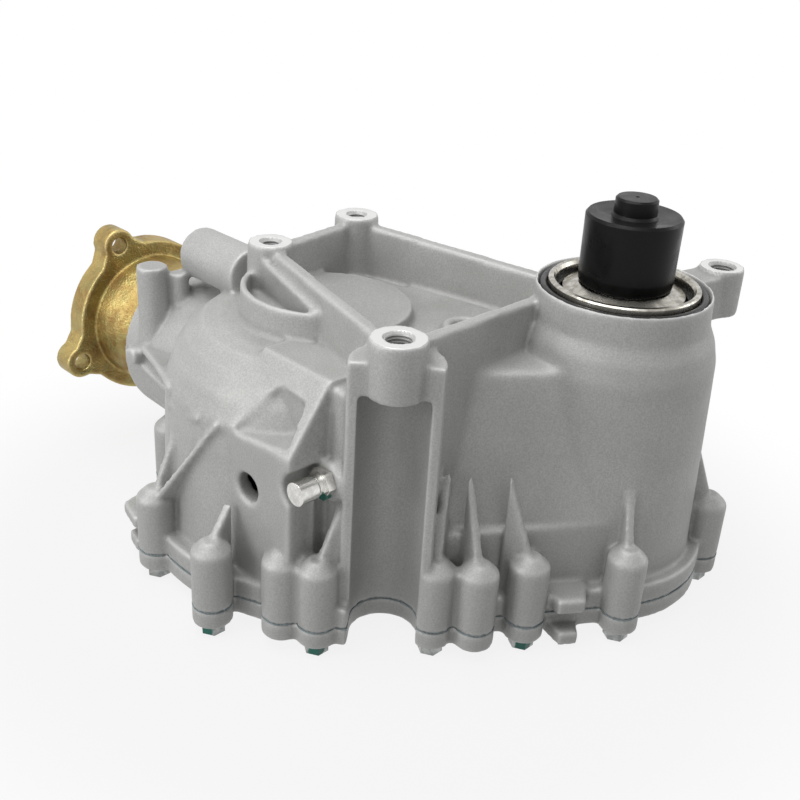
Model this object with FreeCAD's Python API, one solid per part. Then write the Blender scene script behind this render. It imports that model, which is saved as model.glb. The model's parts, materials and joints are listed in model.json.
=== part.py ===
import FreeCAD, Part
import math
import os

# Power take-off unit: a hollow input shaft, an idler and a transfer gear on upright axes,
# then a bevel pair that turns the drive through a right angle to the output flange.
# Millimetres. The origin lies on the input axis, in the plane of the four mounting bosses.
# +Z points out of the input mouth and +Y out of the output flange.

Vec = FreeCAD.Vector
UP = Vec(0, 0, 1)
DOWN = Vec(0, 0, -1)
AHEAD = Vec(0, 1, 0)
BACK = Vec(0, -1, 0)


def point(centre, radius, angle):
    return Vec(centre.x + radius * math.cos(angle), centre.y + radius * math.sin(angle), centre.z)


# Clearances
SEAT = 0.02
RUNNING = 0.05
ROOM_AIR = 2.15
BOLT_AIR = 0.4
END_FLOAT = 0.15

# Heights, all measured down from the mounting plane
FLOOR_DROP = 34.0
PLATFORM_DROP = 27.0
CEILING_DROP = 46.0
SPLIT_DROP = 164.0
OUTPUT_DROP = 96.0
COVER_THICKNESS = 11.0
COVER_POCKET = 5.0
SEALANT_FILM = 0.4

# Spur train
SPUR_MODULE = 3.0
INPUT_TEETH = 30
IDLER_TEETH = 25
TRANSFER_TEETH = 29
SPUR_ADDENDUM = 0.95
SPUR_DEDENDUM = 1.25
SPUR_PRESSURE = math.radians(20)
SPUR_BACKLASH = 0.24
GEAR_WIDTH = 22.0
GEAR_TOP_DROP = 126.0
IDLER_BEARING = math.radians(130.6)
TRANSFER_BEARING = math.radians(124.3)

# Bevel pair
BEVEL_MODULE = 3.75
PINION_TEETH = 15
RING_TEETH = 41
BEVEL_ADDENDUM = 0.9
BEVEL_DEDENDUM = 1.2
BEVEL_FACE = 24.0
BEVEL_PRESSURE = math.radians(22.5)
BEVEL_BACKLASH = 0.3
RING_BACK_DROP = 52.0
RING_WEB = 10.0
RING_WEB_R = 50.0
RING_REGISTER_R = 38.0
RING_BOLTS = 8
RING_BOLT_R = 3.0
RING_BOLT_CIRCLE_R = 45.0
RING_HEAD_R = 5.0

# Axes worked out from the gear teeth
INPUT_AXIS = Vec(0, 0, 0)
IDLER_AXIS = point(INPUT_AXIS, SPUR_MODULE * (INPUT_TEETH + IDLER_TEETH) / 2, IDLER_BEARING)
TRANSFER_AXIS = point(IDLER_AXIS, SPUR_MODULE * (IDLER_TEETH + TRANSFER_TEETH) / 2, TRANSFER_BEARING)
INPUT_TIP_R = SPUR_MODULE * (INPUT_TEETH / 2 + SPUR_ADDENDUM)
GEAR_FOOT = -GEAR_TOP_DROP - GEAR_WIDTH

# Tooth phases: a tooth of one gear meets a space of the next on the line of centres
INPUT_PHASE = IDLER_BEARING
IDLER_PHASE = IDLER_BEARING + math.pi - math.pi / IDLER_TEETH
IDLER_SLIP = (TRANSFER_BEARING - IDLER_PHASE) * IDLER_TEETH
TRANSFER_PHASE = TRANSFER_BEARING + math.pi - (math.pi - IDLER_SLIP) / TRANSFER_TEETH

# Both pitch cones of the bevel pair meet at the apex, where the transfer and output axes cross
RING_PITCH_R = BEVEL_MODULE * RING_TEETH / 2
PINION_PITCH_R = BEVEL_MODULE * PINION_TEETH / 2
APEX = Vec(TRANSFER_AXIS.x, TRANSFER_AXIS.y, -OUTPUT_DROP)
CONE_REACH = math.hypot(RING_PITCH_R, PINION_PITCH_R)
RING_ANGLE = math.atan2(RING_PITCH_R, PINION_PITCH_R)
PINION_ANGLE = math.atan2(PINION_PITCH_R, RING_PITCH_R)
HEEL_SCALE = (CONE_REACH - BEVEL_FACE) / CONE_REACH

# Taper roller bearings: bore radius, outer radius and width
INPUT_UPPER = (24.0, 36.0, 18.0)
INPUT_LOWER = (25.0, 37.0, 16.0)
TRANSFER_UPPER = (24.0, 40.0, 13.0)
TRANSFER_LOWER = (20.0, 36.0, 15.0)
PINION_HEAD = (20.0, 40.0, 18.0)
PINION_TAIL = (17.0, 36.0, 16.0)
INPUT_ROLLERS = 14
TRANSFER_ROLLERS = 12
PINION_ROLLERS = 12
TAPER = math.radians(12)
ROLLER_TAPER = math.radians(1.5)

# Casting
WALL = 7.0
BOSS_CHAMFER = 1.2
THREAD_HOLE_R = 5.5
THREAD_DEPTH = 32.0
BOLT_HOLE_R = 6.9

# Mounting bosses on the transaxle face
LEFT_BOSS = Vec(-109, 168, 0)
REAR_BOSS = Vec(-33, 178, 0)
FRONT_BOSS = Vec(-147, 24, 0)
ARM_BOSS = Vec(74.4, -16, 0)
LEFT_BOSS_R = 13.0
REAR_BOSS_R = 13.5
FRONT_BOSS_R = 14.7
ARM_BOSS_R = 12.7
FRONT_BOSS_LENGTH = 30.0
ARM_BOSS_LENGTH = 28.0
ARM_WIDTH = 20.0

# Input tower
LIP_R = 48.0
LIP_DEPTH = 16.0
TOWER_R = 55.5
TOWER_FOOT_R = 59.0
PILOT_WALL = 4.0
PILOT_R = 41.0
PILOT_BORE = PILOT_R - PILOT_WALL
PILOT_STAND = 2.4
PILOT_DEPTH = 13.0
O_RING_SECTION = 2.3
O_RING_AIR = 0.3
O_RING_GROOVE_DEPTH = 5.0
O_RING_CENTRE_R = PILOT_R + O_RING_SECTION + O_RING_AIR
O_RING_GROOVE_R = O_RING_CENTRE_R + O_RING_SECTION + O_RING_AIR
INPUT_UPPER_AT = -PILOT_DEPTH - INPUT_UPPER[2]
INPUT_LOWER_AT = GEAR_FOOT - 2 - INPUT_LOWER[2]

# Input shaft
SHAFT_BORE = 17.0
SHAFT_SPLINE_R = 21.0
SHAFT_SPLINE_DEPTH = 1.4
SHAFT_SPLINES = 24
SHAFT_TOP = 36.0
SEAL_JOURNAL_R = 22.5
LOWER_JOURNAL_R = 22.0
INPUT_BODY_R = 29.0
INPUT_GEAR_SEAT_R = 26.0
SLINGER_R = 33.0

# Rubber cap on the shaft
CAP_R = 25.6
CAP_TOP = 40.0
CAP_FOOT = 1.4
CAP_KNOB_R = 11.5
CAP_KNOB_TOP = 49.0

# Transfer shaft
SHAFT_FLANGE_R = 58.0
TRANSFER_BORE = 8.0
TRANSFER_BODY_R = 29.0
TRANSFER_GEAR_SEAT_R = 25.0
UPPER_HUB_DROP = PLATFORM_DROP + WALL + 1 + TRANSFER_UPPER[2]
TRANSFER_LOWER_AT = GEAR_FOOT - 1.5 - TRANSFER_LOWER[2]

# Idler
IDLER_PIN_R = 10.0
IDLER_BAR_TOP_DROP = 97.0
NEEDLE_R = 2.4
NEEDLES = 12
IDLER_BORE = IDLER_PIN_R + 2 * NEEDLE_R + 2 * RUNNING
WASHER = 1.9
WASHER_R = 17.0
IDLER_END_ROOM = 2.2
IDLER_BAR_FOOT_DROP = GEAR_TOP_DROP - IDLER_END_ROOM

# Output snout and pinion, measured along +Y from the transfer axis
SNOUT_END = 138.5
SNOUT_R = 49.5
SNOUT_ROOT_R = 57.0
PINION_HEAD_AT = 82.0
PINION_TAIL_AT = PINION_HEAD_AT + PINION_HEAD[2] + 8
HUB_START = PINION_TAIL_AT + PINION_TAIL[2]
SPLINE_R = 15.0
NUT_THREAD_R = 11.0
NUT_FLATS = 32.0
NUT_SEAT = 163.0
NUT_HEIGHT = 14.0
NUT_WASHER_R = 20.0

# Output flange
FLANGE_START = 183.5
FLANGE_THICKNESS = 16.0
FLANGE_HUB_R = 24.0
FLANGE_BELL_R = 43.0
FLANGE_RECESS_R = 38.0
FLANGE_RING_R = 53.5
FLANGE_BOLT_CIRCLE_R = 58.5
FLANGE_EARS = 4
FLANGE_EAR_START = math.radians(21)
FLANGE_EAR_R = 11.0
FLANGE_HOLE_R = 5.5
FLANGE_KNOB_R = 4.5
FLANGE_KNOB_ANGLE = math.radians(225)

# Cover bolts
BOLT_R = 4.0
BOLT_HEAD_R = 8.2
BOLT_HEAD_HEIGHT = 8.0
BOLT_FLATS = 12.0
BOLT_LENGTH = 34.0
LOBE_R = 11.0
SPOT_DEPTH = 1.5
FLANGE_PLATE = 12.0
FLANGE_LEDGE = 8.0
RIB_WIDTH = 5.0
RIB_RISE = 50.0

# Case outline
DRUM_R = 92.0
DRUM_FOOT_R = 95.0
DRUM_SHOULDER_R = 60.0
RING_ROOM_R = DRUM_R - WALL
PLATFORM_R = 49.0
INPUT_ROOM_R = INPUT_TIP_R + ROOM_AIR
BLOCK_TOWER_R = INPUT_ROOM_R + WALL + 1
BLOCK_DRAFT = 5.0
CORNER = Vec(-104, 22, 0)
CORNER_R = 20.0
INNER_CORNER = Vec(-98, 34, 0)
INNER_CORNER_R = 16.0
VENT_CORNER = Vec(-147, 46, 0)
VENT_CORNER_R = 19.0
CHANNEL_R = 18.0
CHANNEL_WALL = 6.0
CHANNEL_REACH = 6.0
CHANNEL_MOUTH = 60.0
CHANNEL_FACING = math.radians(221)
GALLERY_R = 16.0
GALLERY_RISE = 70.0
GALLERY_START = 55.0
GALLERY_END = 108.0

# Cover bolts stand round the input and transfer axes, with three single ones between
TOWER_BOLT_CIRCLE_R = BLOCK_TOWER_R + LOBE_R - 1
TOWER_BOLT_ANGLES = [233, 311, 350, 28]
DRUM_BOLT_CIRCLE_R = DRUM_FOOT_R + FLANGE_LEDGE + LOBE_R - 1
DRUM_BOLT_ANGLES = [24, 56, 86, 198, 228]
SIDE_BOLT_CIRCLE_R = DRUM_FOOT_R + 9
SIDE_BOLT_ANGLES = [116, 164]
SINGLE_BOLTS = [Vec(-128.5, 5.5, 0), Vec(-87, -24, 0), Vec(31, 104, 0)]
DOWEL_R = 5.0
DOWEL_WALL = 1.5
DOWEL_LENGTH = 16.0
DOWEL_PLACES = [Vec(-113, -11, 0), point(INPUT_AXIS, TOWER_BOLT_CIRCLE_R, math.radians(9))]
BLIND_BOSSES = [point(TRANSFER_AXIS, DRUM_BOLT_CIRCLE_R - 5, math.radians(218))]

# Tabs for a pry bar
TAB_THICKNESS = 9.0
FRONT_TAB = Vec(-66, -33, 0)
FRONT_TAB_FACING = math.radians(237)
SIDE_TAB = point(TRANSFER_AXIS, DRUM_FOOT_R + FLANGE_LEDGE, math.radians(150))
SIDE_TAB_FACING = math.radians(165)

# Fill port and vent, on the side that faces -X; distances from the transfer axis
PAD_REACH = 88.0
PAD_NEAR = 21.0
PAD_FAR = 74.5
PAD_TOP_DROP = 67.0
PAD_X = TRANSFER_AXIS.x - PAD_REACH
FILL_OFFSET = 40.3
FILL_DROP = 97.6
FILL_HOLE_R = 8.3
FILL_CENTRE = Vec(0, TRANSFER_AXIS.y - FILL_OFFSET, -FILL_DROP)
PLUG_HEAD_R = 12.0
VENT_OFFSET = 79.5
VENT_DROP = 83.0
VENT_CENTRE = Vec(0, TRANSFER_AXIS.y - VENT_OFFSET, -VENT_DROP)
VENT_SEAT_REACH = 68.0
VENT_SEAT_X = TRANSFER_AXIS.x - VENT_SEAT_REACH
VENT_SEAT_R = 11.0
VENT_STEM_R = 5.0
VENT_STEM_LENGTH = 10.0
VENT_FLATS = 15.0
VENT_CAP_R = 6.3

# Cover
COVER_TOP = -SPLIT_DROP - SEALANT_FILM
COVER_FOOT = COVER_TOP - COVER_THICKNESS
COVER_SEAL_R = 31.0
COVER_SEAL_WIDTH = 9.0
COVER_HUB_FOOT = INPUT_LOWER_AT - 14
COVER_BELOW = min(COVER_HUB_FOOT, COVER_FOOT) - 5


def at(centre, z):
    return Vec(centre.x, centre.y, z)


def rod(centre, radius, z_low, z_high):
    return Part.makeCylinder(radius, z_high - z_low, at(centre, z_low), UP)


def tube(centre, outer, inner, z_low, z_high):
    return rod(centre, outer, z_low, z_high).cut(rod(centre, inner, z_low - 1, z_high + 1))


def cone(centre, r_low, r_high, z_low, z_high):
    return Part.makeCone(r_low, r_high, z_high - z_low, at(centre, z_low), UP)


def face_of(points):
    return Part.Face(Part.makePolygon(points + [points[0]]))


def turned(centre, profile):
    """Solid of revolution about an upright axis from (radius, z) pairs."""
    outline = face_of([Vec(r, 0, z) for r, z in profile])
    outline.translate(at(centre, 0))
    return outline.revolve(at(centre, 0), UP, 360)


def turned_ahead(profile):
    """Solid of revolution about the output axis from (radius, distance) pairs."""
    outline = face_of([Vec(APEX.x + r, APEX.y + y, APEX.z) for r, y in profile])
    return outline.revolve(APEX, AHEAD, 360)


def rod_ahead(radius, y_low, y_high):
    return Part.makeCylinder(radius, y_high - y_low, APEX + Vec(0, y_low, 0), AHEAD)


def fused(pieces):
    return pieces[0].multiFuse(pieces[1:]).removeSplitter()


def block_of(low, high):
    """Solid with flat faces between two loops of as many corners, one above the other."""
    count = len(low)
    faces = [face_of(low), face_of(high)]
    for k in range(count):
        follow = (k + 1) % count
        faces.append(face_of([low[k], low[follow], high[follow], high[k]]))
    block = Part.makeSolid(Part.makeShell(faces))
    return block if block.Volume > 0 else block.reversed()


def bridge(first, second, draft, z_low, z_high):
    """Drafted body with flat flanks round two upright axes, each given as (centre, foot radius)."""
    (c1, r1), (c2, r2) = first, second
    span = c2.sub(c1)
    heading = math.atan2(span.y, span.x)
    spread = math.acos((r1 - r2) / math.hypot(span.x, span.y))
    loops = []
    for z, inset in ((z_low, 0), (z_high, draft)):
        a, b = at(c1, z), at(c2, z)
        loops.append([point(a, r1 - inset, heading - spread), point(b, r2 - inset, heading - spread),
                      point(b, r2 - inset, heading + spread), point(a, r1 - inset, heading + spread)])
    if draft == 0:
        return [rod(c1, r1, z_low, z_high), rod(c2, r2, z_low, z_high), block_of(loops[0], loops[1])]
    return [cone(c1, r1, r1 - draft, z_low, z_high), cone(c2, r2, r2 - draft, z_low, z_high),
            block_of(loops[0], loops[1])]


def chain(ring, draft, z_low, z_high):
    """Drafted body round a ring of (centre, radius) pairs: a bridge per pair and a core inside."""
    pieces = []
    for k in range(len(ring)):
        pieces += bridge(ring[k], ring[(k + 1) % len(ring)], draft, z_low, z_high)
    core = face_of([at(centre, z_low) for centre, radius in ring])
    pieces.append(core.extrude(Vec(0, 0, z_high - z_low)))
    return fused(pieces)


def web(start, end, z_start, z_end, z_foot, top_width, draft_slope=0.06):
    """Drafted upright wall between two plan points, its top running from z_start to z_end."""
    run = Vec(end.x - start.x, end.y - start.y, 0).normalize()
    side = Vec(-run.y, run.x, 0)
    half = top_width / 2
    z_top = max(z_start, z_end)

    def pair(centre, z):
        reach = half + draft_slope * (z_top - z)
        return at(centre, z) + side * reach, at(centre, z) - side * reach

    start_low, start_high = pair(start, z_foot), pair(start, z_start)
    end_low, end_high = pair(end, z_foot), pair(end, z_end)
    return block_of([start_low[0], start_low[1], end_low[1], end_low[0]],
                    [start_high[0], start_high[1], end_high[1], end_high[0]])


def cover_bolt_places():
    places = [point(INPUT_AXIS, TOWER_BOLT_CIRCLE_R, math.radians(a)) for a in TOWER_BOLT_ANGLES]
    places += [point(TRANSFER_AXIS, DRUM_BOLT_CIRCLE_R, math.radians(a)) for a in DRUM_BOLT_ANGLES]
    places += [point(TRANSFER_AXIS, SIDE_BOLT_CIRCLE_R, math.radians(a)) for a in SIDE_BOLT_ANGLES]
    return places + SINGLE_BOLTS


def boss_places():
    return cover_bolt_places() + DOWEL_PLACES + BLIND_BOSSES


def case_circles(extra, tower, drum):
    return [(INPUT_AXIS, tower + extra), (TRANSFER_AXIS, drum + extra),
            (VENT_CORNER, VENT_CORNER_R + extra), (CORNER, CORNER_R + extra)]


def drum_profile():
    """Bell over the ring gear: a drafted side that rounds over to the floor."""
    side_top = -OUTPUT_DROP + 12
    side = [(0, -SPLIT_DROP), (DRUM_FOOT_R, -SPLIT_DROP), (DRUM_R, side_top)]
    rise = -FLOOR_DROP - side_top
    for step in range(1, 6):
        swing = math.radians(90 * step / 5)
        radius = DRUM_SHOULDER_R + (DRUM_R - DRUM_SHOULDER_R) * math.cos(swing)
        side.append((radius, side_top + rise * math.sin(swing)))
    return side + [(0, -FLOOR_DROP)]


def flange_plate(z_low, z_high):
    """Joint flange: a belt round the block and the drum, the tower foot and a lobe at each bolt."""
    pieces = [chain(case_circles(FLANGE_LEDGE, BLOCK_TOWER_R, DRUM_FOOT_R), 0, z_low, z_high)]
    for place in boss_places():
        pieces.append(rod(place, LOBE_R, z_low, z_high))
    return fused(pieces)


def channel_cutter(z_low, z_high):
    """Half-round channel that lets the long mounting bolt and its tool reach the front boss."""
    facing = point(Vec(0, 0, 0), 1, CHANNEL_FACING)
    side = Vec(-facing.y, facing.x, 0)
    centre = at(FRONT_BOSS, z_low)
    left, right = centre + side * CHANNEL_R, centre - side * CHANNEL_R
    back = Part.Arc(left, centre - facing * CHANNEL_R, right).toShape()
    mouth = Part.makePolygon([right, right + facing * CHANNEL_MOUTH, left + facing * CHANNEL_MOUTH, left])
    return Part.Face(Part.Wire([back] + mouth.Edges)).extrude(Vec(0, 0, z_high - z_low))


def channel_walls(z_low, z_high):
    outer = rod(FRONT_BOSS, CHANNEL_R + CHANNEL_WALL, z_low, z_high)
    facing = point(Vec(0, 0, 0), 1, CHANNEL_FACING)
    trim = Part.makeBox(120, 120, z_high - z_low, Vec(-60, CHANNEL_REACH, z_low))
    trim.rotate(Vec(0, 0, 0), UP, math.degrees(CHANNEL_FACING) - 90)
    trim.translate(at(FRONT_BOSS, 0))
    return outer.cut(trim)


def tower_outside():
    return turned(INPUT_AXIS, [(0, 0), (LIP_R, 0), (LIP_R + 0.5, -LIP_DEPTH), (TOWER_R - 3, -LIP_DEPTH - 9),
                               (TOWER_R - 0.6, -LIP_DEPTH - 20), (TOWER_R, -53), (TOWER_FOOT_R, -SPLIT_DROP),
                               (0, -SPLIT_DROP)])


def rib_top(place):
    """Top of the rib over a boss; before the fill port it stays under the head of the plug."""
    before_port = place.x < PAD_X and abs(place.y - FILL_CENTRE.y) < PLUG_HEAD_R
    rise = -SPLIT_DROP + BOLT_LENGTH + RIB_RISE
    return min(rise, FILL_CENTRE.z - PLUG_HEAD_R) if before_port else rise


def bolt_boss(place, core):
    """Cover bolt boss with a rounded head and a thin rib that fades into the side of the case."""
    z_split = -SPLIT_DROP
    head = z_split + BOLT_LENGTH
    boss = [rod(place, LOBE_R, z_split, head), cone(place, LOBE_R, 5, head, head + 6)]
    inward = Vec(core.x - place.x, core.y - place.y, 0).normalize()
    side = Vec(-inward.y, inward.x, 0)
    start = at(place, 0) - side * (RIB_WIDTH / 2)
    rib = face_of([start + Vec(0, 0, z_split), start + Vec(0, 0, head + 6),
                   start + inward * 16 + Vec(0, 0, rib_top(place)), start + inward * 16 + Vec(0, 0, z_split)])
    boss.append(rib.extrude(side * RIB_WIDTH))
    return boss


def snout_outside():
    return turned_ahead([(0, 20), (SNOUT_ROOT_R, 20), (SNOUT_ROOT_R, 66), (SNOUT_R + 1.5, 84),
                         (SNOUT_R, SNOUT_END), (0, SNOUT_END)])


def boss_walls():
    """Four walls that tie the mounting bosses to each other and to the input tower."""
    foot = -FLOOR_DROP - 20
    tower_left = point(INPUT_AXIS, LIP_R - 2, math.radians(139))
    tower_rear = point(INPUT_AXIS, LIP_R - 2, math.radians(96))
    return [web(LEFT_BOSS, FRONT_BOSS, -3, -6, foot, WALL), web(LEFT_BOSS, REAR_BOSS, -4, -4, foot, WALL),
            web(REAR_BOSS, tower_rear, -4, -8, foot, WALL + 1),
            web(FRONT_BOSS, tower_left, -4, -8, -SPLIT_DROP + 20, WALL)]


def front_slope():
    """Wedge taken off the front of the block, so that its face leans back below the boss wall."""
    ahead = Vec(-0.6, -0.8, 0)
    along = Vec(0.8, -0.6, 0)
    start = along * -140
    wedge = face_of([start + ahead * 57 + Vec(0, 0, -115), start + ahead * 36 + Vec(0, 0, -FLOOR_DROP + 1),
                     start + ahead * 120 + Vec(0, 0, -FLOOR_DROP + 1), start + ahead * 120 + Vec(0, 0, -115)])
    return wedge.extrude(along * 280)


def ahead_x(centre, radius, x_low, x_high):
    """Round bar along X through a point of the given y and z."""
    return Part.makeCylinder(radius, x_high - x_low, Vec(x_low, centre.y, centre.z), Vec(1, 0, 0))


def fill_pad():
    """Flat pad round the fill port, with a three-cornered pocket in the slope above it."""
    near, far = TRANSFER_AXIS.y - PAD_NEAR, TRANSFER_AXIS.y - PAD_FAR
    inner = PAD_X + 50
    foot, shelf, crown = -SPLIT_DROP + FLANGE_PLATE, -PAD_TOP_DROP, -FLOOR_DROP + 3

    def loop(z, x_face, y_near, y_far):
        return [Vec(x_face, y_far, z), Vec(inner, y_far, z), Vec(inner, y_near, z), Vec(x_face, y_near, z)]

    pad = block_of(loop(foot, PAD_X, near, far), loop(shelf, PAD_X, near, far))
    slope = block_of(loop(shelf, PAD_X, near, far), loop(crown, PAD_X + 26, near, far))
    pocket = face_of([Vec(PAD_X - 1, near - 7, shelf - 2), Vec(PAD_X - 1, far + 5, shelf + 3),
                      Vec(PAD_X - 1, far + 9, shelf + 24), Vec(PAD_X - 1, near - 24, shelf + 26)])
    return fused([pad, slope]).cut(pocket.extrude(Vec(20, 0, 0)))


def snout_bosses():
    """Cast posts, the oil gallery boss and the stiffening ribs on the output snout."""
    start = APEX + Vec(-10, GALLERY_START, GALLERY_RISE)
    gallery = Part.makeCylinder(GALLERY_R, GALLERY_END - GALLERY_START, start, AHEAD)
    pieces = [gallery, Part.makeCylinder(6, GALLERY_RISE - 10, APEX + Vec(-26, GALLERY_END, 0), UP)]
    for offset, along, top, radius in ((-40, 116, 65, 9.5), (-9, 107, 50, 9.5)):
        pieces.append(Part.makeCylinder(radius, top, APEX + Vec(offset, along, 0), UP))
    pieces.append(Part.makeCylinder(5.5, 13, APEX + Vec(-45, 118, 8), Vec(-1, 0, 0)))
    for height in (-8, -30):
        rib = face_of([APEX + Vec(-30, 70, height - 3), APEX + Vec(-30, 132, height + 12),
                       APEX + Vec(-30, 132, height + 16), APEX + Vec(-30, 70, height + 1)])
        pieces.append(rib.extrude(Vec(-26 + abs(height) / 3, 0, 0)))
    return pieces


def pry_tab(root, heading, width, reach, z_low, z_high):
    """Flat tab with a blunt end that stands out of the joint flange for a pry bar."""
    out = point(Vec(0, 0, 0), 1, heading)
    side = Vec(-out.y, out.x, 0)
    outline = face_of([at(root, z_low) - out * 12 - side * (width / 2), at(root, z_low) + side * (-width / 2),
                       at(root, z_low) + out * reach - side * (width / 4),
                       at(root, z_low) + out * reach + side * (width / 3),
                       at(root, z_low) + side * (width / 2), at(root, z_low) - out * 12 + side * (width / 2)])
    return outline.extrude(Vec(0, 0, z_high - z_low))


def case_outside():
    block = chain(case_circles(0, BLOCK_TOWER_R, DRUM_SHOULDER_R), BLOCK_DRAFT, -SPLIT_DROP, -FLOOR_DROP)
    body = [block.cut(front_slope()), turned(TRANSFER_AXIS, drum_profile()), tower_outside(), snout_outside()]
    body.append(flange_plate(-SPLIT_DROP, -SPLIT_DROP + FLANGE_PLATE))
    body.append(rod(TRANSFER_AXIS, PLATFORM_R, -FLOOR_DROP - 1, -PLATFORM_DROP))
    body.append(rod(IDLER_AXIS, 14, -FLOOR_DROP - 1, -FLOOR_DROP + 4))
    body.append(channel_walls(-SPLIT_DROP, -FRONT_BOSS_LENGTH + 18))
    for centre, radius in ((LEFT_BOSS, LEFT_BOSS_R), (REAR_BOSS, REAR_BOSS_R)):
        body.append(cone(centre, radius + 2, radius, -FLOOR_DROP - 30, 0))
    body.append(rod(FRONT_BOSS, FRONT_BOSS_R, -FRONT_BOSS_LENGTH, 0))
    body.append(rod(ARM_BOSS, ARM_BOSS_R, -ARM_BOSS_LENGTH, 0))
    body.append(web(ARM_BOSS, INPUT_AXIS, -2, -2, -ARM_BOSS_LENGTH, ARM_WIDTH))
    body += boss_walls() + snout_bosses() + [fill_pad()]
    body.append(ahead_x(VENT_CENTRE, VENT_SEAT_R, VENT_SEAT_X, VENT_SEAT_X + 20))
    tab_foot = -SPLIT_DROP + 5
    body.append(pry_tab(FRONT_TAB, FRONT_TAB_FACING, 26, 13, tab_foot, tab_foot + TAB_THICKNESS))
    body.append(pry_tab(SIDE_TAB, SIDE_TAB_FACING, 34, 14, tab_foot, tab_foot + TAB_THICKNESS - 1))
    for place in boss_places():
        near = min((INPUT_AXIS, IDLER_AXIS, TRANSFER_AXIS, CORNER), key=lambda c: c.distanceToPoint(place))
        body += bolt_boss(place, near)
    return fused(body)


def ring_room():
    """Room for the ring gear, one wall thickness inside the bell of the case."""
    side_top = -OUTPUT_DROP + 12
    shoulder = DRUM_SHOULDER_R - WALL
    rise = -FLOOR_DROP - 10 - side_top
    profile = [(0, -SPLIT_DROP - 1), (RING_ROOM_R, -SPLIT_DROP - 1), (RING_ROOM_R, side_top)]
    for step in range(1, 5):
        swing = math.radians(90 * step / 4)
        radius = shoulder + (RING_ROOM_R - shoulder) * math.cos(swing)
        profile.append((radius, side_top + rise * math.sin(swing)))
    profile += [(TRANSFER_UPPER[1] + WALL, -UPPER_HUB_DROP), (0, -UPPER_HUB_DROP)]
    return turned(TRANSFER_AXIS, profile)


def gear_room():
    ring = [(INPUT_AXIS, INPUT_ROOM_R), (TRANSFER_AXIS, DRUM_SHOULDER_R), (INNER_CORNER, INNER_CORNER_R)]
    swing = rod(INPUT_AXIS, INPUT_ROOM_R, -SPLIT_DROP - 1, -GEAR_TOP_DROP + 4)
    return chain(ring, 14, -SPLIT_DROP - 1, -CEILING_DROP).fuse(swing)


def idler_bar():
    """Bar cast across the gear room that holds the upper end of the idler pin."""
    reach = IDLER_AXIS.sub(INPUT_AXIS).normalize()
    across = Vec(-reach.y, reach.x, 0)
    start = at(IDLER_AXIS, 0) - across * 75
    return web(start, at(IDLER_AXIS, 0) + across * 75, -IDLER_BAR_TOP_DROP, -IDLER_BAR_TOP_DROP,
               -IDLER_BAR_FOOT_DROP, 2 * IDLER_PIN_R + 12, 0)


def snout_bores():
    head_start, head_end = PINION_HEAD_AT, PINION_HEAD_AT + PINION_HEAD[2]
    tail_start = PINION_TAIL_AT
    return [rod_ahead(PINION_HEAD[1] + SEAT, 40, head_end), rod_ahead(PINION_HEAD[1] - 6, 40, tail_start + 1),
            rod_ahead(PINION_TAIL[1] + SEAT, tail_start, SNOUT_END + 1)]


def case_hollows():
    hollows = [ring_room().fuse(gear_room()).cut(idler_bar())]
    hollows.append(rod(TRANSFER_AXIS, TRANSFER_UPPER[1] + SEAT, -UPPER_HUB_DROP - 1,
                       -UPPER_HUB_DROP + TRANSFER_UPPER[2]))
    hollows.append(rod(IDLER_AXIS, IDLER_PIN_R + SEAT, -IDLER_BAR_FOOT_DROP - 1, -IDLER_BAR_TOP_DROP - 4))
    hollows.append(rod(IDLER_AXIS, 9, -FLOOR_DROP, -FLOOR_DROP + 5))
    hollows.append(rod(INPUT_AXIS, INPUT_UPPER[1] - 5, -CEILING_DROP - 1, 1))
    hollows.append(rod(INPUT_AXIS, INPUT_UPPER[1] + SEAT, INPUT_UPPER_AT, 1))
    hollows.append(rod(INPUT_AXIS, PILOT_R + SEAT, -PILOT_DEPTH, 1))
    hollows.append(rod(INPUT_AXIS, O_RING_GROOVE_R, -O_RING_GROOVE_DEPTH, 1))
    hollows += snout_bores()
    hollows.append(channel_cutter(-SPLIT_DROP - 1, -FRONT_BOSS_LENGTH))
    for place in cover_bolt_places():
        hollows.append(rod(place, BOLT_R + SEAT, -SPLIT_DROP - 1, -SPLIT_DROP + BOLT_LENGTH - 6))
    for place in DOWEL_PLACES:
        hollows.append(rod(place, DOWEL_R + SEAT, -SPLIT_DROP - 1, -SPLIT_DROP + DOWEL_LENGTH / 2 + 1))
    hollows.append(ahead_x(FILL_CENTRE, FILL_HOLE_R, PAD_X - 1, PAD_X + 25))
    stem_end = VENT_SEAT_X + VENT_STEM_LENGTH
    hollows.append(ahead_x(VENT_CENTRE, VENT_STEM_R + SEAT, VENT_SEAT_X - 1, stem_end + 1))
    hollows.append(ahead_x(VENT_CENTRE, VENT_STEM_R - 2, VENT_SEAT_X, TRANSFER_AXIS.x - 20))
    hollows.append(ahead_x(VENT_CENTRE, VENT_FLATS * 0.72, PAD_X - 1, VENT_SEAT_X))
    for centre in (LEFT_BOSS, REAR_BOSS):
        hollows += chamfered_hole(centre, THREAD_HOLE_R, THREAD_DEPTH)
    hollows += chamfered_hole(FRONT_BOSS, BOLT_HOLE_R, FRONT_BOSS_LENGTH + 1)
    hollows += chamfered_hole(ARM_BOSS, BOLT_HOLE_R, ARM_BOSS_LENGTH + 1)
    return hollows


def chamfered_hole(centre, radius, depth):
    return [rod(centre, radius, -depth, 1), cone(centre, radius, radius + BOSS_CHAMFER + 1, -BOSS_CHAMFER, 1)]


def main_case():
    return case_outside().cut(case_hollows()).removeSplitter()


def joint_floor():
    """Room inside the joint flange, the same outline for the cover pocket and the sealant."""
    ring = [(INPUT_AXIS, INPUT_ROOM_R), (TRANSFER_AXIS, RING_ROOM_R), (INNER_CORNER, INNER_CORNER_R)]
    return chain(ring, 0, COVER_TOP - COVER_POCKET, -SPLIT_DROP + 1)


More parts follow.
